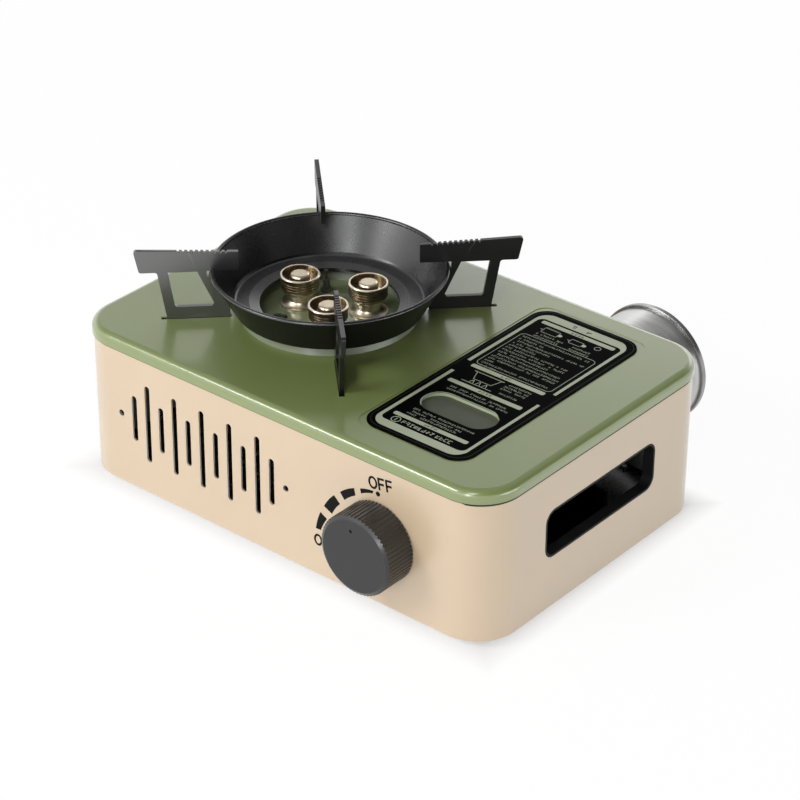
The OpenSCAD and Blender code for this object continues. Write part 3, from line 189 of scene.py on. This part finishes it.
def floor():
    mesh = bpy.data.meshes.new("floor")
    corners = [(x * FLOOR_REACH, y * FLOOR_REACH, 0) for x, y in ((-1, -1), (1, -1), (1, 1), (-1, 1))]
    mesh.from_pydata(corners, [], [(0, 1, 2, 3)])
    plane = bpy.data.objects.new("floor", mesh)
    bpy.context.scene.collection.objects.link(plane)
    material, tree, shader = blank("floor_white")
    shader.inputs["Base Color"].default_value = (0.9, 0.9, 0.9, 1)
    shader.inputs["Roughness"].default_value = 0.9
    path = tree.nodes.new("ShaderNodeLightPath")
    seen = peak(tree, path.outputs["Is Camera Ray"], path.outputs["Is Glossy Ray"])
    seen = peak(tree, seen, path.outputs["Is Transmission Ray"])
    # under the stove the floor stays unlit, so that no white shows through the vents
    here = tree.nodes.new("ShaderNodeTexCoord").outputs["Object"]
    spot = put(tree, "ShaderNodeSeparateXYZ", {0: here})
    across = swing(tree, maths(tree, "ABSOLUTE", spot.outputs["X"]), 0.0, 1.0, *UNLIT_END_X)
    along = maths(tree, "ABSOLUTE", maths(tree, "SUBTRACT", spot.outputs["Y"], CASING_Y * MM))
    along = swing(tree, along, 0.0, 1.0, *UNLIT_END_Y)
    share = maths(tree, "MULTIPLY", maths(tree, "MULTIPLY", seen, FLOOR_SHARE), peak(tree, across, along))
    glow = put(tree, "ShaderNodeEmission", {"Color": (1, 1, 1, 1), "Strength": FLOOR_GLOW})
    both = put(tree, "ShaderNodeMixShader", {0: share, 1: shader.outputs[0], 2: glow.outputs[0]})
    tree.links.new(both.outputs[0], tree.nodes["Material Output"].inputs[0])
    mesh.materials.append(material)


# ---------------------------------------------------------------- node trees
# detail and roughness of a surface's slow drift, and of its fine grain
DRIFT_NOISE = (4.0, 0.55)
GRAIN_NOISE = (3.0, 0.6)


def blank(name):
    material = bpy.data.materials.new(name)
    material.use_nodes = True
    return material, material.node_tree, material.node_tree.nodes["Principled BSDF"]


def put(tree, kind, values, **settings):
    """A new node with its settings, whose inputs are values or links from other nodes."""
    node = tree.nodes.new(kind)
    for key, value in settings.items():
        setattr(node, key, value)
    for key, value in values.items():
        if isinstance(value, bpy.types.NodeSocket):
            tree.links.new(value, node.inputs[key])
        else:
            node.inputs[key].default_value = value
    return node


def maths(tree, operation, a, b=0.0):
    return put(tree, "ShaderNodeMath", {0: a, 1: b}, operation=operation).outputs[0]


def peak(tree, a, b):
    return maths(tree, "MAXIMUM", a, b)


def place(tree, scale=(1, 1, 1)):
    """Object coordinates in metres, stretched by scale."""
    spot = tree.nodes.new("ShaderNodeTexCoord").outputs["Object"]
    return put(tree, "ShaderNodeMapping", {"Vector": spot, "Scale": scale}).outputs[0]


def noise(tree, spot, grain, detail, rough):
    """Noise between about 0.3 and 0.7 whose blobs are grain millimetres across."""
    values = {"Vector": spot, "Scale": 1 / (grain * MM), "Detail": detail, "Roughness": rough}
    return put(tree, "ShaderNodeTexNoise", values).outputs["Fac"]


def swing(tree, fac, low, high, start=0.3, end=0.7, **settings):
    """fac from start..end laid onto low..high."""
    values = {"Value": fac, "From Min": start, "From Max": end, "To Min": low, "To Max": high}
    return put(tree, "ShaderNodeMapRange", values, **settings).outputs[0]


def blend(tree, fac, a, b):
    """Colour a where fac is 0 and b where it is 1."""
    node = tree.nodes.new("ShaderNodeMix")
    node.data_type = "RGBA"
    for socket, value in ((node.inputs[0], fac), (node.inputs[6], a), (node.inputs[7], b)):
        if isinstance(value, bpy.types.NodeSocket):
            tree.links.new(value, socket)
        else:
            socket.default_value = (*value, 1)
    return node.outputs[2]


def finish(name, colour, rough, spread=0.08, patch=18.0, grain=0.6, depth=0.01, rough_spread=0.06,
           metallic=0.0, coat=0.0, coat_rough=0.2, specular=0.5, ior=1.5, stretch=(1, 1, 1)):
    """A surface whose colour drifts over patch mm, whose gloss drifts too, and whose skin has grain
    of grain mm and depth mm."""
    material, tree, shader = blank(name)
    spot = place(tree, stretch)
    wide = noise(tree, spot, patch, *DRIFT_NOISE)
    fine = noise(tree, spot, grain, *GRAIN_NOISE)
    dark = tuple(c * (1 - spread) for c in colour)
    light = tuple(min(1.0, c * (1 + spread)) for c in colour)
    tree.links.new(blend(tree, swing(tree, wide, 0.0, 1.0), dark, light), shader.inputs["Base Color"])
    both = maths(tree, "ADD", maths(tree, "MULTIPLY", wide, 0.5), maths(tree, "MULTIPLY", fine, 0.5))
    gloss = swing(tree, both, max(0.02, rough - rough_spread), rough + rough_spread)
    tree.links.new(gloss, shader.inputs["Roughness"])
    skin = put(tree, "ShaderNodeBump", {"Height": fine, "Distance": depth * MM, "Strength": 1.0})
    tree.links.new(skin.outputs[0], shader.inputs["Normal"])
    for key, value in (("Metallic", metallic), ("Coat Weight", coat), ("Coat Roughness", coat_rough),
                       ("Coat IOR", ior), ("Specular IOR Level", specular), ("IOR", ior)):
        shader.inputs[key].default_value = value
    return material


# ---------------------------------------------------------------- finishes
SLOTS = {
    "green_paint": dict(colour=(0.220, 0.277, 0.087), rough=0.34, ior=1.65, coat=1.0, coat_rough=0.17,
                        spread=0.03, patch=60, grain=0.8, depth=0.003),
    "cream_paint": dict(colour=(0.655, 0.50, 0.335), rough=0.42, ior=1.68, coat=1.0, coat_rough=0.25,
                        spread=0.02, patch=60, grain=0.8, depth=0.004),
    "black_enamel": dict(colour=(0.0045, 0.0045, 0.0047), rough=0.28, ior=1.82,
                         spread=0.2, patch=12, grain=0.7, depth=0.0025, rough_spread=0.03),
    "zinc_sheet": dict(colour=(0.50, 0.51, 0.52), rough=0.38, metallic=1.0,
                       spread=0.18, patch=6, grain=0.5, depth=0.004),
    "zinc_screw": dict(colour=(0.62, 0.62, 0.60), rough=0.28, metallic=1.0,
                       spread=0.1, patch=2, grain=0.3, depth=0.003),
    "brass": dict(colour=(0.78, 0.68, 0.52), rough=0.33, metallic=1.0,
                  spread=0.08, patch=4, grain=0.35, depth=0.004, stretch=(1, 1, 10)),
    "dark_brass": dict(colour=(0.34, 0.28, 0.20), rough=0.3, metallic=1.0,
                       spread=0.12, patch=4, grain=0.35, depth=0.004, stretch=(1, 1, 10)),
    "rubber": dict(colour=(0.02, 0.02, 0.02), rough=0.75, spread=0.2, patch=4, grain=0.3, depth=0.02),
    "black_plastic": dict(colour=(0.006, 0.006, 0.006), rough=0.55, specular=0.25,
                          spread=0.15, patch=10, grain=0.35, depth=0.012),
    "knob_plastic": dict(colour=(0.010, 0.010, 0.0098), rough=0.38, coat=0.45, coat_rough=0.14,
                         spread=0.12, patch=10, grain=0.3, depth=0.01),
    "knob_disc": dict(colour=(0.015, 0.015, 0.017), rough=0.42, coat=0.15, coat_rough=0.15,
                      spread=0.06, patch=10, grain=0.3, depth=0.004),
    "panel_print": dict(colour=(0.0015, 0.0015, 0.0016), rough=0.5, specular=0.02, ior=1.3,
                        spread=0.1, patch=20, grain=0.5, depth=0.003),
    "cast_alloy": dict(colour=(0.50, 0.50, 0.50), rough=0.5, metallic=1.0,
                       spread=0.15, patch=3, grain=0.5, depth=0.03),
    "tinplate": dict(colour=(0.52, 0.52, 0.515), rough=0.34, metallic=1.0,
                     spread=0.14, patch=16, grain=0.9, depth=0.003, stretch=(1, 5, 1)),
    "ceramic": dict(colour=(0.13, 0.14, 0.10), rough=0.3, spread=0.04, patch=3, grain=0.4, depth=0.004),
    "dark_steel": dict(colour=(0.16, 0.14, 0.13), rough=0.4, metallic=1.0,
                       spread=0.2, patch=2, grain=0.3, depth=0.004),
    "white_plastic": dict(colour=(0.72, 0.70, 0.64), rough=0.4,
                          spread=0.04, patch=5, grain=0.3, depth=0.006),
    "pad_grey": dict(colour=(0.09, 0.10, 0.065), rough=0.55, spread=0.1, patch=6, grain=0.4, depth=0.012),
    "magnet": dict(colour=(0.60, 0.60, 0.61), rough=0.18, metallic=1.0,
                   spread=0.08, patch=3, grain=0.4, depth=0.002),
}
INKS = {
    "pale_ink_and_highlight": dict(colour=(0.46, 0.51, 0.36), rough=0.45, spread=0.05, patch=10),
    "dim_ink": dict(colour=(0.36, 0.40, 0.30), rough=0.5, specular=0.2, spread=0.15, patch=3),
    "black_ink": dict(colour=(0.004, 0.004, 0.004), rough=0.5, specular=0.1, spread=0.2, patch=6),
    # a lighter grey for the painted glint on the panel's raised edge line
    "edge_glint_paint": dict(colour=(0.022, 0.025, 0.018), rough=0.5, specular=0.05, spread=0.1, patch=6),
}
# pale brass for the painted highlight on the crowns' rim
RIM_HIGHLIGHT_BRASS = (0.92, 0.81, 0.65)


def variant(name, slot, **changes):
    """A slot's finish under another name, with some of its looks changed."""
    return finish(name, **{**SLOTS[slot], **changes})


def paint_rim_highlights(material):
    """Paints a pale highlight on the burner crowns' rim, over their heat-browned sides and trough."""
    tree = material.node_tree
    shader = tree.nodes["Principled BSDF"]
    base = shader.inputs["Base Color"].links[0].from_socket
    height = put(tree, "ShaderNodeSeparateXYZ", {0: place(tree)}).outputs["Z"]
    rim = swing(tree, height, 0.0, 1.0, *CROWN_RIM)
    tree.links.new(blend(tree, rim, base, RIM_HIGHLIGHT_BRASS), shader.inputs["Base Color"])


def inset(x, y, half_x, half_y, corner):
    """How far a point is outside a rounded rectangle round the origin; negative inside."""
    dx, dy = abs(x) - half_x + corner, abs(y) - half_y + corner
    return math.hypot(max(dx, 0.0), max(dy, 0.0)) + min(max(dx, dy), 0.0) - corner


def paint_faces(mesh, materials, choose):
    """Adds materials to a mesh whose own is number 0; choose gives each face's number."""
    for material in materials:
        mesh.materials.append(material)
    for face in mesh.polygons:
        face.material_index = choose(face)


def dress_cover():
    """The pressed dish is glossier than the rest of the cover and painted lighter as a painted reflection,
    its collar duller and painted darker as painted shade under the pan, the recess's edge painted paler as a
    painted highlight.
    """
    mesh = nodes["top_cover"].data
    dish, collar, recess = 1, 2, 3

    def choose(face):
        x, y, z = (v / MM for v in face.center)
        away = math.hypot(face.center.x - BURNER_X * MM, face.center.y - CASING_Y * MM)
        low, high = RECESS_HEIGHTS
        beyond = inset(x - RECESS_MIDDLE[0], y - RECESS_MIDDLE[1], *RECESS_HALF, RECESS_HALF[1])
        if beyond < RECESS_REACH and low < z < high and abs(face.normal.z) < RECESS_STEEP:
            return recess
        if away < DISH_R * MM and face.normal.z > LOOKS_UP:
            return dish
        if away < COLLAR_OUT * MM and max(mesh.vertices[i].co.z for i in face.vertices) > COLLAR_FOOT * MM:
            return collar
        return 0

    paint_faces(mesh, (
        # the dish's lighter green is a painted reflection
        variant("green_dish_sheen", "green_paint", colour=(0.29, 0.35, 0.19), rough=0.16, coat_rough=0.05),
        # the collar's darker green is painted shade under the pan
        variant("green_collar_shade", "green_paint", colour=(0.155, 0.185, 0.10), coat=0.1, rough=0.42),
        # the recess wall's paler green is a painted highlight
        variant("green_recess_edge_highlight", "green_paint", colour=(0.47, 0.54, 0.35))), choose)


def dress_pan():
    """The pot supports' enamel, the front left one a glossier copy as a painted reflection, and the pan's,
    its floor painted lighter grey as a painted reflection and duller outside.
    """
    plate = variant("plate_enamel", "black_enamel", colour=(0.003, 0.003, 0.0031), ior=1.6, rough=0.34)
    reflection_plate = variant("plate_enamel_reflection", "black_enamel", colour=(0.004, 0.004, 0.0041), ior=2.6, rough=0.32)
    for name in pot_supports():
        # the front left support gets a glossier copy of the enamel: a painted reflection
        nodes[name].data.materials[0] = reflection_plate if name.endswith("front_left") else plate
    sheen_floor, outside = 1, 2

    def choose(face):
        if face.normal.z > PAN_LEVEL and face.center.z < PAN_FLOOR_TOP:
            return sheen_floor
        return outside if face.normal.z < PAN_OUTWARD else 0

    paint_faces(nodes["windshield_bowl"].data, (
        # the floor's lighter grey is a painted reflection
        variant("pan_floor_sheen", "black_enamel", colour=(0.043, 0.043, 0.044)),
        variant("pan_outside", "black_enamel", ior=1.4, specular=0.4, rough=0.36)), choose)


def dress_casing(dot_edge_shade):
    """The casing is bare grey primer inside, and the edges of its two vent dots are painted black as painted
    shade.
    """
    inside, dot = 1, 2
    low, high = VENT_DOT_HEIGHTS

    def choose(face):
        x, y, z = (v / MM for v in face.center)
        deep = inset(x, y - CASING_Y, CASING_HALF_X, CASING_HALF_Y, CASING_CORNER)
        if deep < CASING_SKIN and z > CASING_BOTTOM:
            return inside
        # the vent dots' cut edges are painted black: painted shade in the holes
        cut = CUT_EDGE[0] < deep < CUT_EDGE[1]
        aside = abs(abs(x - VENTS_X) - VENT_DOT_OUT)
        return dot if cut and aside < VENT_DOT_REACH and low < z < high else 0

    primer = finish("casing_inside", (0.62, 0.62, 0.61), 0.34,
                    spread=0.1, patch=14, grain=0.6, depth=0.006, specular=0.8)
    paint_faces(nodes["lower_casing"].data, (primer, dot_edge_shade), choose)


def pot_supports():
    return [name for name in nodes if name.startswith("pan_support")]


def dress():
    """Gives every CAD node its slot's finish, and some of them more than one; returns the slots' finishes."""
    made = {slot: finish(slot, **looks) for slot, looks in SLOTS.items()}
    paint_rim_highlights(made["dark_brass"])
    for part in frame["record"]["subparts"]:
        mesh = nodes[part["node"]].data
        mesh.materials.clear()
        mesh.materials.append(made[part["material_slot"]])
    dress_cover()
    dress_pan()
    # the cartridge's seam gets a darker copy of the tinplate: painted shade
    seam = variant("tinplate_seam_shade", "tinplate", colour=(0.30, 0.30, 0.30), rough=0.3, stretch=(1, 1, 1))
    nodes["cartridge_base"].data.materials[0] = seam
    dress_casing(made["rubber"])
    return made


def soften(names, width, angle=35):
    """Rounds the sharp edges of CAD pieces a little, so that they catch the light."""
    for name in names:
        piece = nodes[name]
        weld = piece.modifiers.new("weld", "WELD")
        weld.merge_threshold = 1e-6
        bevel = piece.modifiers.new("bevel", "BEVEL")
        bevel.width = width * MM
        bevel.segments = 2
        bevel.limit_method = "ANGLE"
        bevel.angle_limit = math.radians(angle)
        bevel.use_clamp_overlap = True
        bevel.harden_normals = True


# ---------------------------------------------------------------- outlines
def arc(x, y, radius, start, end, steps=8):
    angles = [math.radians(start + (end - start) * i / steps) for i in range(steps + 1)]
    return [(x + radius * math.cos(a), y + radius * math.sin(a)) for a in angles]


def rounded(x0, y0, x1, y1, r, steps=8):
    """Points of a rounded rectangle."""
    corners = ((x1 - r, y1 - r, 0), (x0 + r, y1 - r, 90), (x0 + r, y0 + r, 180), (x1 - r, y0 + r, 270))
    return [p for x, y, a in corners for p in arc(x, y, r, a, a + 90, steps)]


def from_mm(kind, rise):
    """Turns drawing millimetres (across, up, out) into metres: 'panel' lies on the cover, and 'front' on
    the casing's front, from its lower left corner."""
    if kind == "panel":
        return lambda x, y, out: Vector((x * MM, (y + CASING_Y) * MM, (PANEL_TOP + out * rise) * MM))
    return lambda x, y, out: Vector(
        ((x - CASING_HALF_X) * MM, (FRONT_Y - out * rise) * MM, (y + CASING_LOW) * MM))


def stand(name, bm, material):
    """Makes a piece of a mesh, which rides on the stove."""
    mesh = bpy.data.meshes.new(name)
    bm.to_mesh(mesh)
    bm.free()
    mesh.materials.append(material)
    for face in mesh.polygons:
        face.use_smooth = False
    piece = bpy.data.objects.new(name, mesh)
    bpy.context.scene.collection.objects.link(piece)
    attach(piece, "stove")


# ---------------------------------------------------------------- printed marks
class Print:
    """One thin printed layer, drawn from flat slabs, strips and strokes."""

    def __init__(self, name, kind, material, rise=PRINT_RISE):
        self.name, self.material = name, material
        self.at, self.bm = from_mm(kind, rise), bmesh.new()

    def slab(self, loop):
        top = [self.bm.verts.new(self.at(x, y, 1.0)) for x, y in loop]
        low = [self.bm.verts.new(self.at(x, y, PRINT_SINK)) for x, y in loop]
        self.bm.faces.new(top)
        self.bm.faces.new(low[::-1])
        for i in range(len(loop)):
            j = (i + 1) % len(loop)
            self.bm.faces.new((low[i], low[j], top[j], top[i]))

    def strip(self, outer, inner, shut=True):
        """The band between two lines of as many points, closed into a ring or open."""
        rings = [[self.bm.verts.new(self.at(x, y, z)) for x, y in loop]
                 for loop in (outer, inner) for z in (1.0, PRINT_SINK)]
        count = len(outer)
        for i in range(count if shut else count - 1):
            j = (i + 1) % count
            for a, b in ((0, 2), (3, 1), (1, 0), (2, 3)):
                self.bm.faces.new((rings[a][i], rings[a][j], rings[b][j], rings[b][i]))
        if not shut:
            for i in (0, count - 1):
                self.bm.faces.new([rings[k][i] for k in (0, 1, 3, 2)])

    def stroke(self, points, width, shut=False):
        """A pen line of one width through the points, with mitred corners."""
        left, right, count = [], [], len(points)
        for i, (x, y) in enumerate(points):
            before = points[i - 1] if i or shut else points[i]
            after = points[(i + 1) % count] if i < count - 1 or shut else points[i]
            a, b = Vector((x - before[0], y - before[1])), Vector((after[0] - x, after[1] - y))
            a = a.normalized() if a.length else b.normalized()
            b = b.normalized() if b.length else a
            mid = (a + b).normalized()
            reach = width / 2 / max(MITRE_LEAST, mid.dot(a))
            left.append((x - mid.y * reach, y + mid.x * reach))
            right.append((x + mid.y * reach, y - mid.x * reach))
        self.strip(left, right, shut)

    def ring(self, x0, y0, x1, y1, radius, width):
        """A rounded frame of one width."""
        inner = rounded(x0 + width, y0 + width, x1 - width, y1 - width, max(0.05, radius - width))
        self.strip(rounded(x0, y0, x1, y1, radius), inner)

    def done(self):
        bmesh.ops.recalc_face_normals(self.bm, faces=self.bm.faces)
        stand(self.name, self.bm, self.material)


# the bars that a meaningless mark is crossed from, in a unit square
GLYPH = {"t": ((0, 1), (1, 1)), "m": ((0, 0.5), (1, 0.5)), "b": ((0, 0), (1, 0)), "l": ((0.1, 0), (0.1, 1)),
         "r": ((0.9, 0), (0.9, 1)), "c": ((0.5, 0), (0.5, 1)), "d": ((0.1, 0.1), (0.9, 0.9))}
GLYPH_BARS = 3
GLYPH_WIDE = 0.72                    # of the pitch
GLYPH_GAPS = 0.07                    # share of marks left out, like the spaces between words
GLYPH_ROOM = 0.7                     # of the pitch has to be free for one more mark

# the panel's text field is laid out in eighths of a millimetre, right and down from this corner
GRID = 8
GRID_X, GRID_Y = 38, 82
# height, start and end of each row of marks
ROWS = (
    (292, 122, 478), (315, 122, 250), (339, 130, 478), (362, 122, 318), (385, 122, 265), (409, 122, 465),
    (433, 122, 445), (456, 122, 383), (480, 122, 460), (504, 122, 472), (526, 122, 468), (549, 122, 165),
    (573, 122, 468), (597, 122, 215), (234, 150, 292), (234, 338, 440), (256, 150, 277), (256, 333, 443),
    (170, 150, 232), (655, 320, 450), (676, 320, 450), (697, 320, 450), (732, 340, 430), (812, 150, 447),
    (834, 150, 460), (1048, 150, 468), (1070, 150, 415), (1090, 150, 408))
TITLE_ROW = 1160
TITLE_WORDS = ((182, 345), (357, 452))
BARS = ((63.1, 66.1), (2.9, 6.0), (-16.25, -13.1), (-59.6, -56.6))      # low and high edges
BAR_LEFT, BAR_RIGHT, BAR_CORNER = 51.5, 98.75, 1.0


def scribble(layer, x0, x1, y, dice, height=1.25, pitch=1.45, width=0.21):
    """A row of small generic marks that say nothing: each a few crossed bars."""
    x = x0
    while x + pitch * GLYPH_ROOM < x1:
        wide = pitch * GLYPH_WIDE
        if dice.random() > GLYPH_GAPS:
            for bar in dice.sample(sorted(GLYPH), GLYPH_BARS):
                ends = [(x + u * wide, y + (v - 0.5) * height) for u, v in GLYPH[bar]]
                layer.stroke(ends, width)
        x += pitch


def panel_frame(layer):
    """Top and bottom bands joined by side lines that stop short in the middle."""
    out_r, in_r = 8.0, 3.5
    out_left, out_right, in_left, in_right = 46.4, 104.0, 48.5, 102.1
    # inner and outer edge of the band, the side lines' end, and which way is out
    for in_y, out_y, end_y, sign in ((67.6, 73.5, 7.0, 1), (66.2, 71.9, -5.9, -1)):
        lines = []
        for left, right, edge, r in ((out_left, out_right, out_y, out_r), (in_left, in_right, in_y, in_r)):
            corners = arc(right - r, edge - r, r, 0, 90) + arc(left + r, edge - r, r, 90, 180)
            lines.append([(right, end_y)] + [(x, y * sign) for x, y in corners] + [(left, end_y)])
        layer.strip(lines[0], lines[1], shut=False)


def panel_cartridges(bright, faint):
    """A cartridge going in, twice, and a dial."""
    # left, right, low and high of each cartridge
    for x0, x1, y0, y1 in ((57, 69.5, 55.2, 60.6), (75, 85.5, 55.2, 59.6)):
        middle = (y0 + y1) / 2
        faint.ring(x0, y0, x1 - 2.2, y1, 1.0, 0.4)
        bright.slab(rounded(x1 - 2.6, middle - 1.2, x1, middle + 1.2, 1.1, 4))
        faint.stroke([(x0 - 1.6, middle), (x0, middle)], 0.5)
    faint.ring(89.5, 57.8, 93.4, 61.6, 1.85, 0.4)


def panel_pan(bright, faint):
    """A pan over a flame."""
    faint.stroke([(56.8, 0.6), (76.0, 0.6)], 0.6)
    faint.stroke([(58.6, 0.4), (61.2, -6.4), (72.4, -6.4), (74.4, 0.4)], 0.45)
    faint.stroke([(56.8, -10.8), (76.0, -10.8)], 0.5)
    for x in (62.5, 66.6, 70.7):
        flame = [(x - 1.2, -10.2), (x - 0.6, -8.4), (x, -7.2), (x + 0.6, -8.4), (x + 1.2, -10.2)]
        bright.stroke(flame, 0.4)


def panel_marks(pale, dim, shade, black):
    """The panel's frame, bars, rows of meaningless marks and line drawings."""
    dice = random.Random(7)
    bright = Print("panel_frame_print_and_highlight", "panel", pale)
    faint = Print("panel_small_print", "panel", dim, FAINT_RISE)
    dark = Print("panel_bar_marks", "panel", black, MARK_RISE)
    panel_frame(bright)
    for low, high in BARS:
        bright.slab(rounded(BAR_LEFT, low, BAR_RIGHT, high, BAR_CORNER, 4))
        scribble(dark, 71.0, 80.5, (low + high) / 2, dice, 1.7, 2.2, 0.28)
    for x in (69.0, 79.0):
        scribble(dark, x - 2, x + 2.2, 70.2, dice, 2.6, 3.6, 0.42)
    # a thin raised line round the panel, its glint painted as a lighter line, the text field's outline, and a
    # painted highlight on the recess's far rim
    # the edge layer paints the raised line's glint lighter than the panel
    edge = Print("panel_edge_glint", "panel", shade, EDGE_RISE)
    edge.ring(43.9, -74.0, 107.5, 76.8, 9.6, 0.45)
    faint.ring(51.0, 7.25, 99.75, 48.5, 3.0, 0.4)
    # a pale stroke round the recess's far rim: a painted highlight
    bright.stroke(arc(63.2, -35.75, 10.05, 235, 90, 14) + arc(87.7, -35.75, 10.05, 90, 50, 4), 0.5)
    for row, start, end in ROWS:
        scribble(faint, GRID_X + start / GRID, GRID_X + end / GRID, GRID_Y - row / GRID, dice)
    for start, end in TITLE_WORDS:
        left, right = GRID_X + start / GRID, GRID_X + end / GRID
        scribble(bright, left, right, GRID_Y - TITLE_ROW / GRID, dice, 2.4, 2.6, 0.42)
    # a round sign beside the title
    bright.ring(54.0, -65.7, 59.4, -60.3, 2.69, 0.45)
    bright.stroke([(56.7, -61.6), (56.7, -64.4)], 0.5)
    panel_cartridges(bright, faint)
    panel_pan(bright, faint)
    for layer in (bright, faint, edge, dark):
        layer.done()


# ---------------------------------------------------------------- the dial round the knob
DIAL_HUB = Vector((212.0, 37.8))
# each wedge: outer edge start and end, inner edge end and start
WEDGES = (((199.4, 63.2), (208.2, 65.3), (207.6, 63.6), (200.1, 60.5)),
          ((186.2, 55.7), (195.5, 61.8), (196.5, 57.8), (189.2, 52.1)),
          ((175.4, 42.9), (182.2, 52.2), (186.2, 48.5), (180.8, 40.3)),
          ((169.8, 27.2), (173.0, 38.3), (177.4, 35.8), (173.2, 27.4)))
WEDGE_STEPS = 6
DIAL_PEN = 1.25
DIAL_DOT = (211.1, 64.7, 1.4)        # across, up, radius
O_STEPS = 28
O_RING = [(2.5 + 2.1 * math.cos(i * math.tau / O_STEPS), 3.4 + 3.0 * math.sin(i * math.tau / O_STEPS))
          for i in range(O_STEPS)]
# lines of each letter, whether a line is closed, and how far the next letter is
LETTERS = {"O": ([(O_RING, True)], 5.7),
           "N": ([([(0.45, 0.0), (0.45, 6.6), (4.35, 0.2), (4.35, 6.8)], False)], 5.7),
           "F": ([([(0.4, 0), (0.4, 6.4), (3.8, 6.4)], False), ([(0.4, 3.4), (3.4, 3.4)], False)], 4.6)}
LETTER_WIDE = 1.1


def write(layer, word, x, y, lean, size):
    """A word in drawn capitals, from its lower left, turned by lean degrees."""
    cosine, sine = math.cos(math.radians(lean)), math.sin(math.radians(lean))
    along = 0.0
    for letter in word:
        lines, step = LETTERS[letter]
        for points, shut in lines:
            spots = [((px + along) * size * LETTER_WIDE, py * size) for px, py in points]
            turned = [(x + a * cosine - b * sine, y + a * sine + b * cosine) for a, b in spots]
            layer.stroke(turned, DIAL_PEN, shut)
        along += step


def dial_marks(black):
    """OFF, ON, four growing wedges and a dot around the knob."""
    layer = Print("dial_scale_print", "front", black)
    for corners in WEDGES:
        polar = []
        for corner in corners:
            angle = math.atan2(corner[1] - DIAL_HUB.y, corner[0] - DIAL_HUB.x)
            polar.append(((Vector(corner) - DIAL_HUB).length, angle if angle > 0 else angle + math.tau))
        edges = []
        for (r0, a0), (r1, a1) in ((polar[0], polar[1]), (polar[3], polar[2])):
            shares = [t / WEDGE_STEPS for t in range(WEDGE_STEPS + 1)]
            steps = [(r0 + (r1 - r0) * t, a0 + (a1 - a0) * t) for t in shares]
            edges.append([(DIAL_HUB.x + r * math.cos(a), DIAL_HUB.y + r * math.sin(a)) for r, a in steps])
        layer.strip(edges[0], edges[1], shut=False)
    layer.slab(arc(*DIAL_DOT, 0, 345, 23))
    write(layer, "OFF", 205.6, 66.3, 9.2, 1.0)
    write(layer, "ON", 168.7, 17.5, 0.0, 0.95)
    layer.done()


# ---------------------------------------------------------------- the painted shadow between cover and casing
SHADOW_OUT, SHADOW_IN = 0.15, -0.3     # beyond the casing's side
SHADOW_LOW, SHADOW_LOW_RIGHT = 84.2, 83.55
SHADOW_RIGHT_FROM = 125               # the painted shadow is wider beyond this x
SHADOW_STEPS = 16


def paint_cover_shadow(material):
    """A thin dark strip under the cover's skirt on the casing: the painted shadow of the gap between them."""
    bm = bmesh.new()
    loops = []
    for grow, low in ((SHADOW_OUT, True), (SHADOW_OUT, False), (SHADOW_IN, False), (SHADOW_IN, True)):
        half_x, half_y = CASING_HALF_X + grow, CASING_HALF_Y + grow
        outline = rounded(-half_x, -half_y, half_x, half_y, CASING_CORNER + grow, SHADOW_STEPS)
        loop = []
        for x, y in outline:
            foot = SHADOW_LOW_RIGHT if x > SHADOW_RIGHT_FROM else SHADOW_LOW
            loop.append(bm.verts.new((x * MM, (y + CASING_Y) * MM, (foot if low else SKIRT_LOW) * MM)))
        loops.append(loop)
    for k, low in enumerate(loops):
        high = loops[(k + 1) % 4]
        for i in range(len(low)):
            j = (i + 1) % len(low)
            bm.faces.new((low[i], low[j], high[j], high[i]))
    stand("cover_shadow_strip", bm, material)


# ---------------------------------------------------------------- the scene
photo_camera()
made = dress()
paint_cover_shadow(made["rubber"])
soften(pot_supports(), SUPPORT_BEVEL)
ink = {name: finish(name, grain=0.4, depth=0.004, **looks) for name, looks in INKS.items()}
panel_marks(ink["pale_ink_and_highlight"], ink["dim_ink"], ink["edge_glint_paint"], ink["black_ink"])
dial_marks(ink["black_ink"])
studio()
floor()

scene = bpy.context.scene
scene.view_settings.view_transform = "Standard"
bpy.context.view_layer.update()
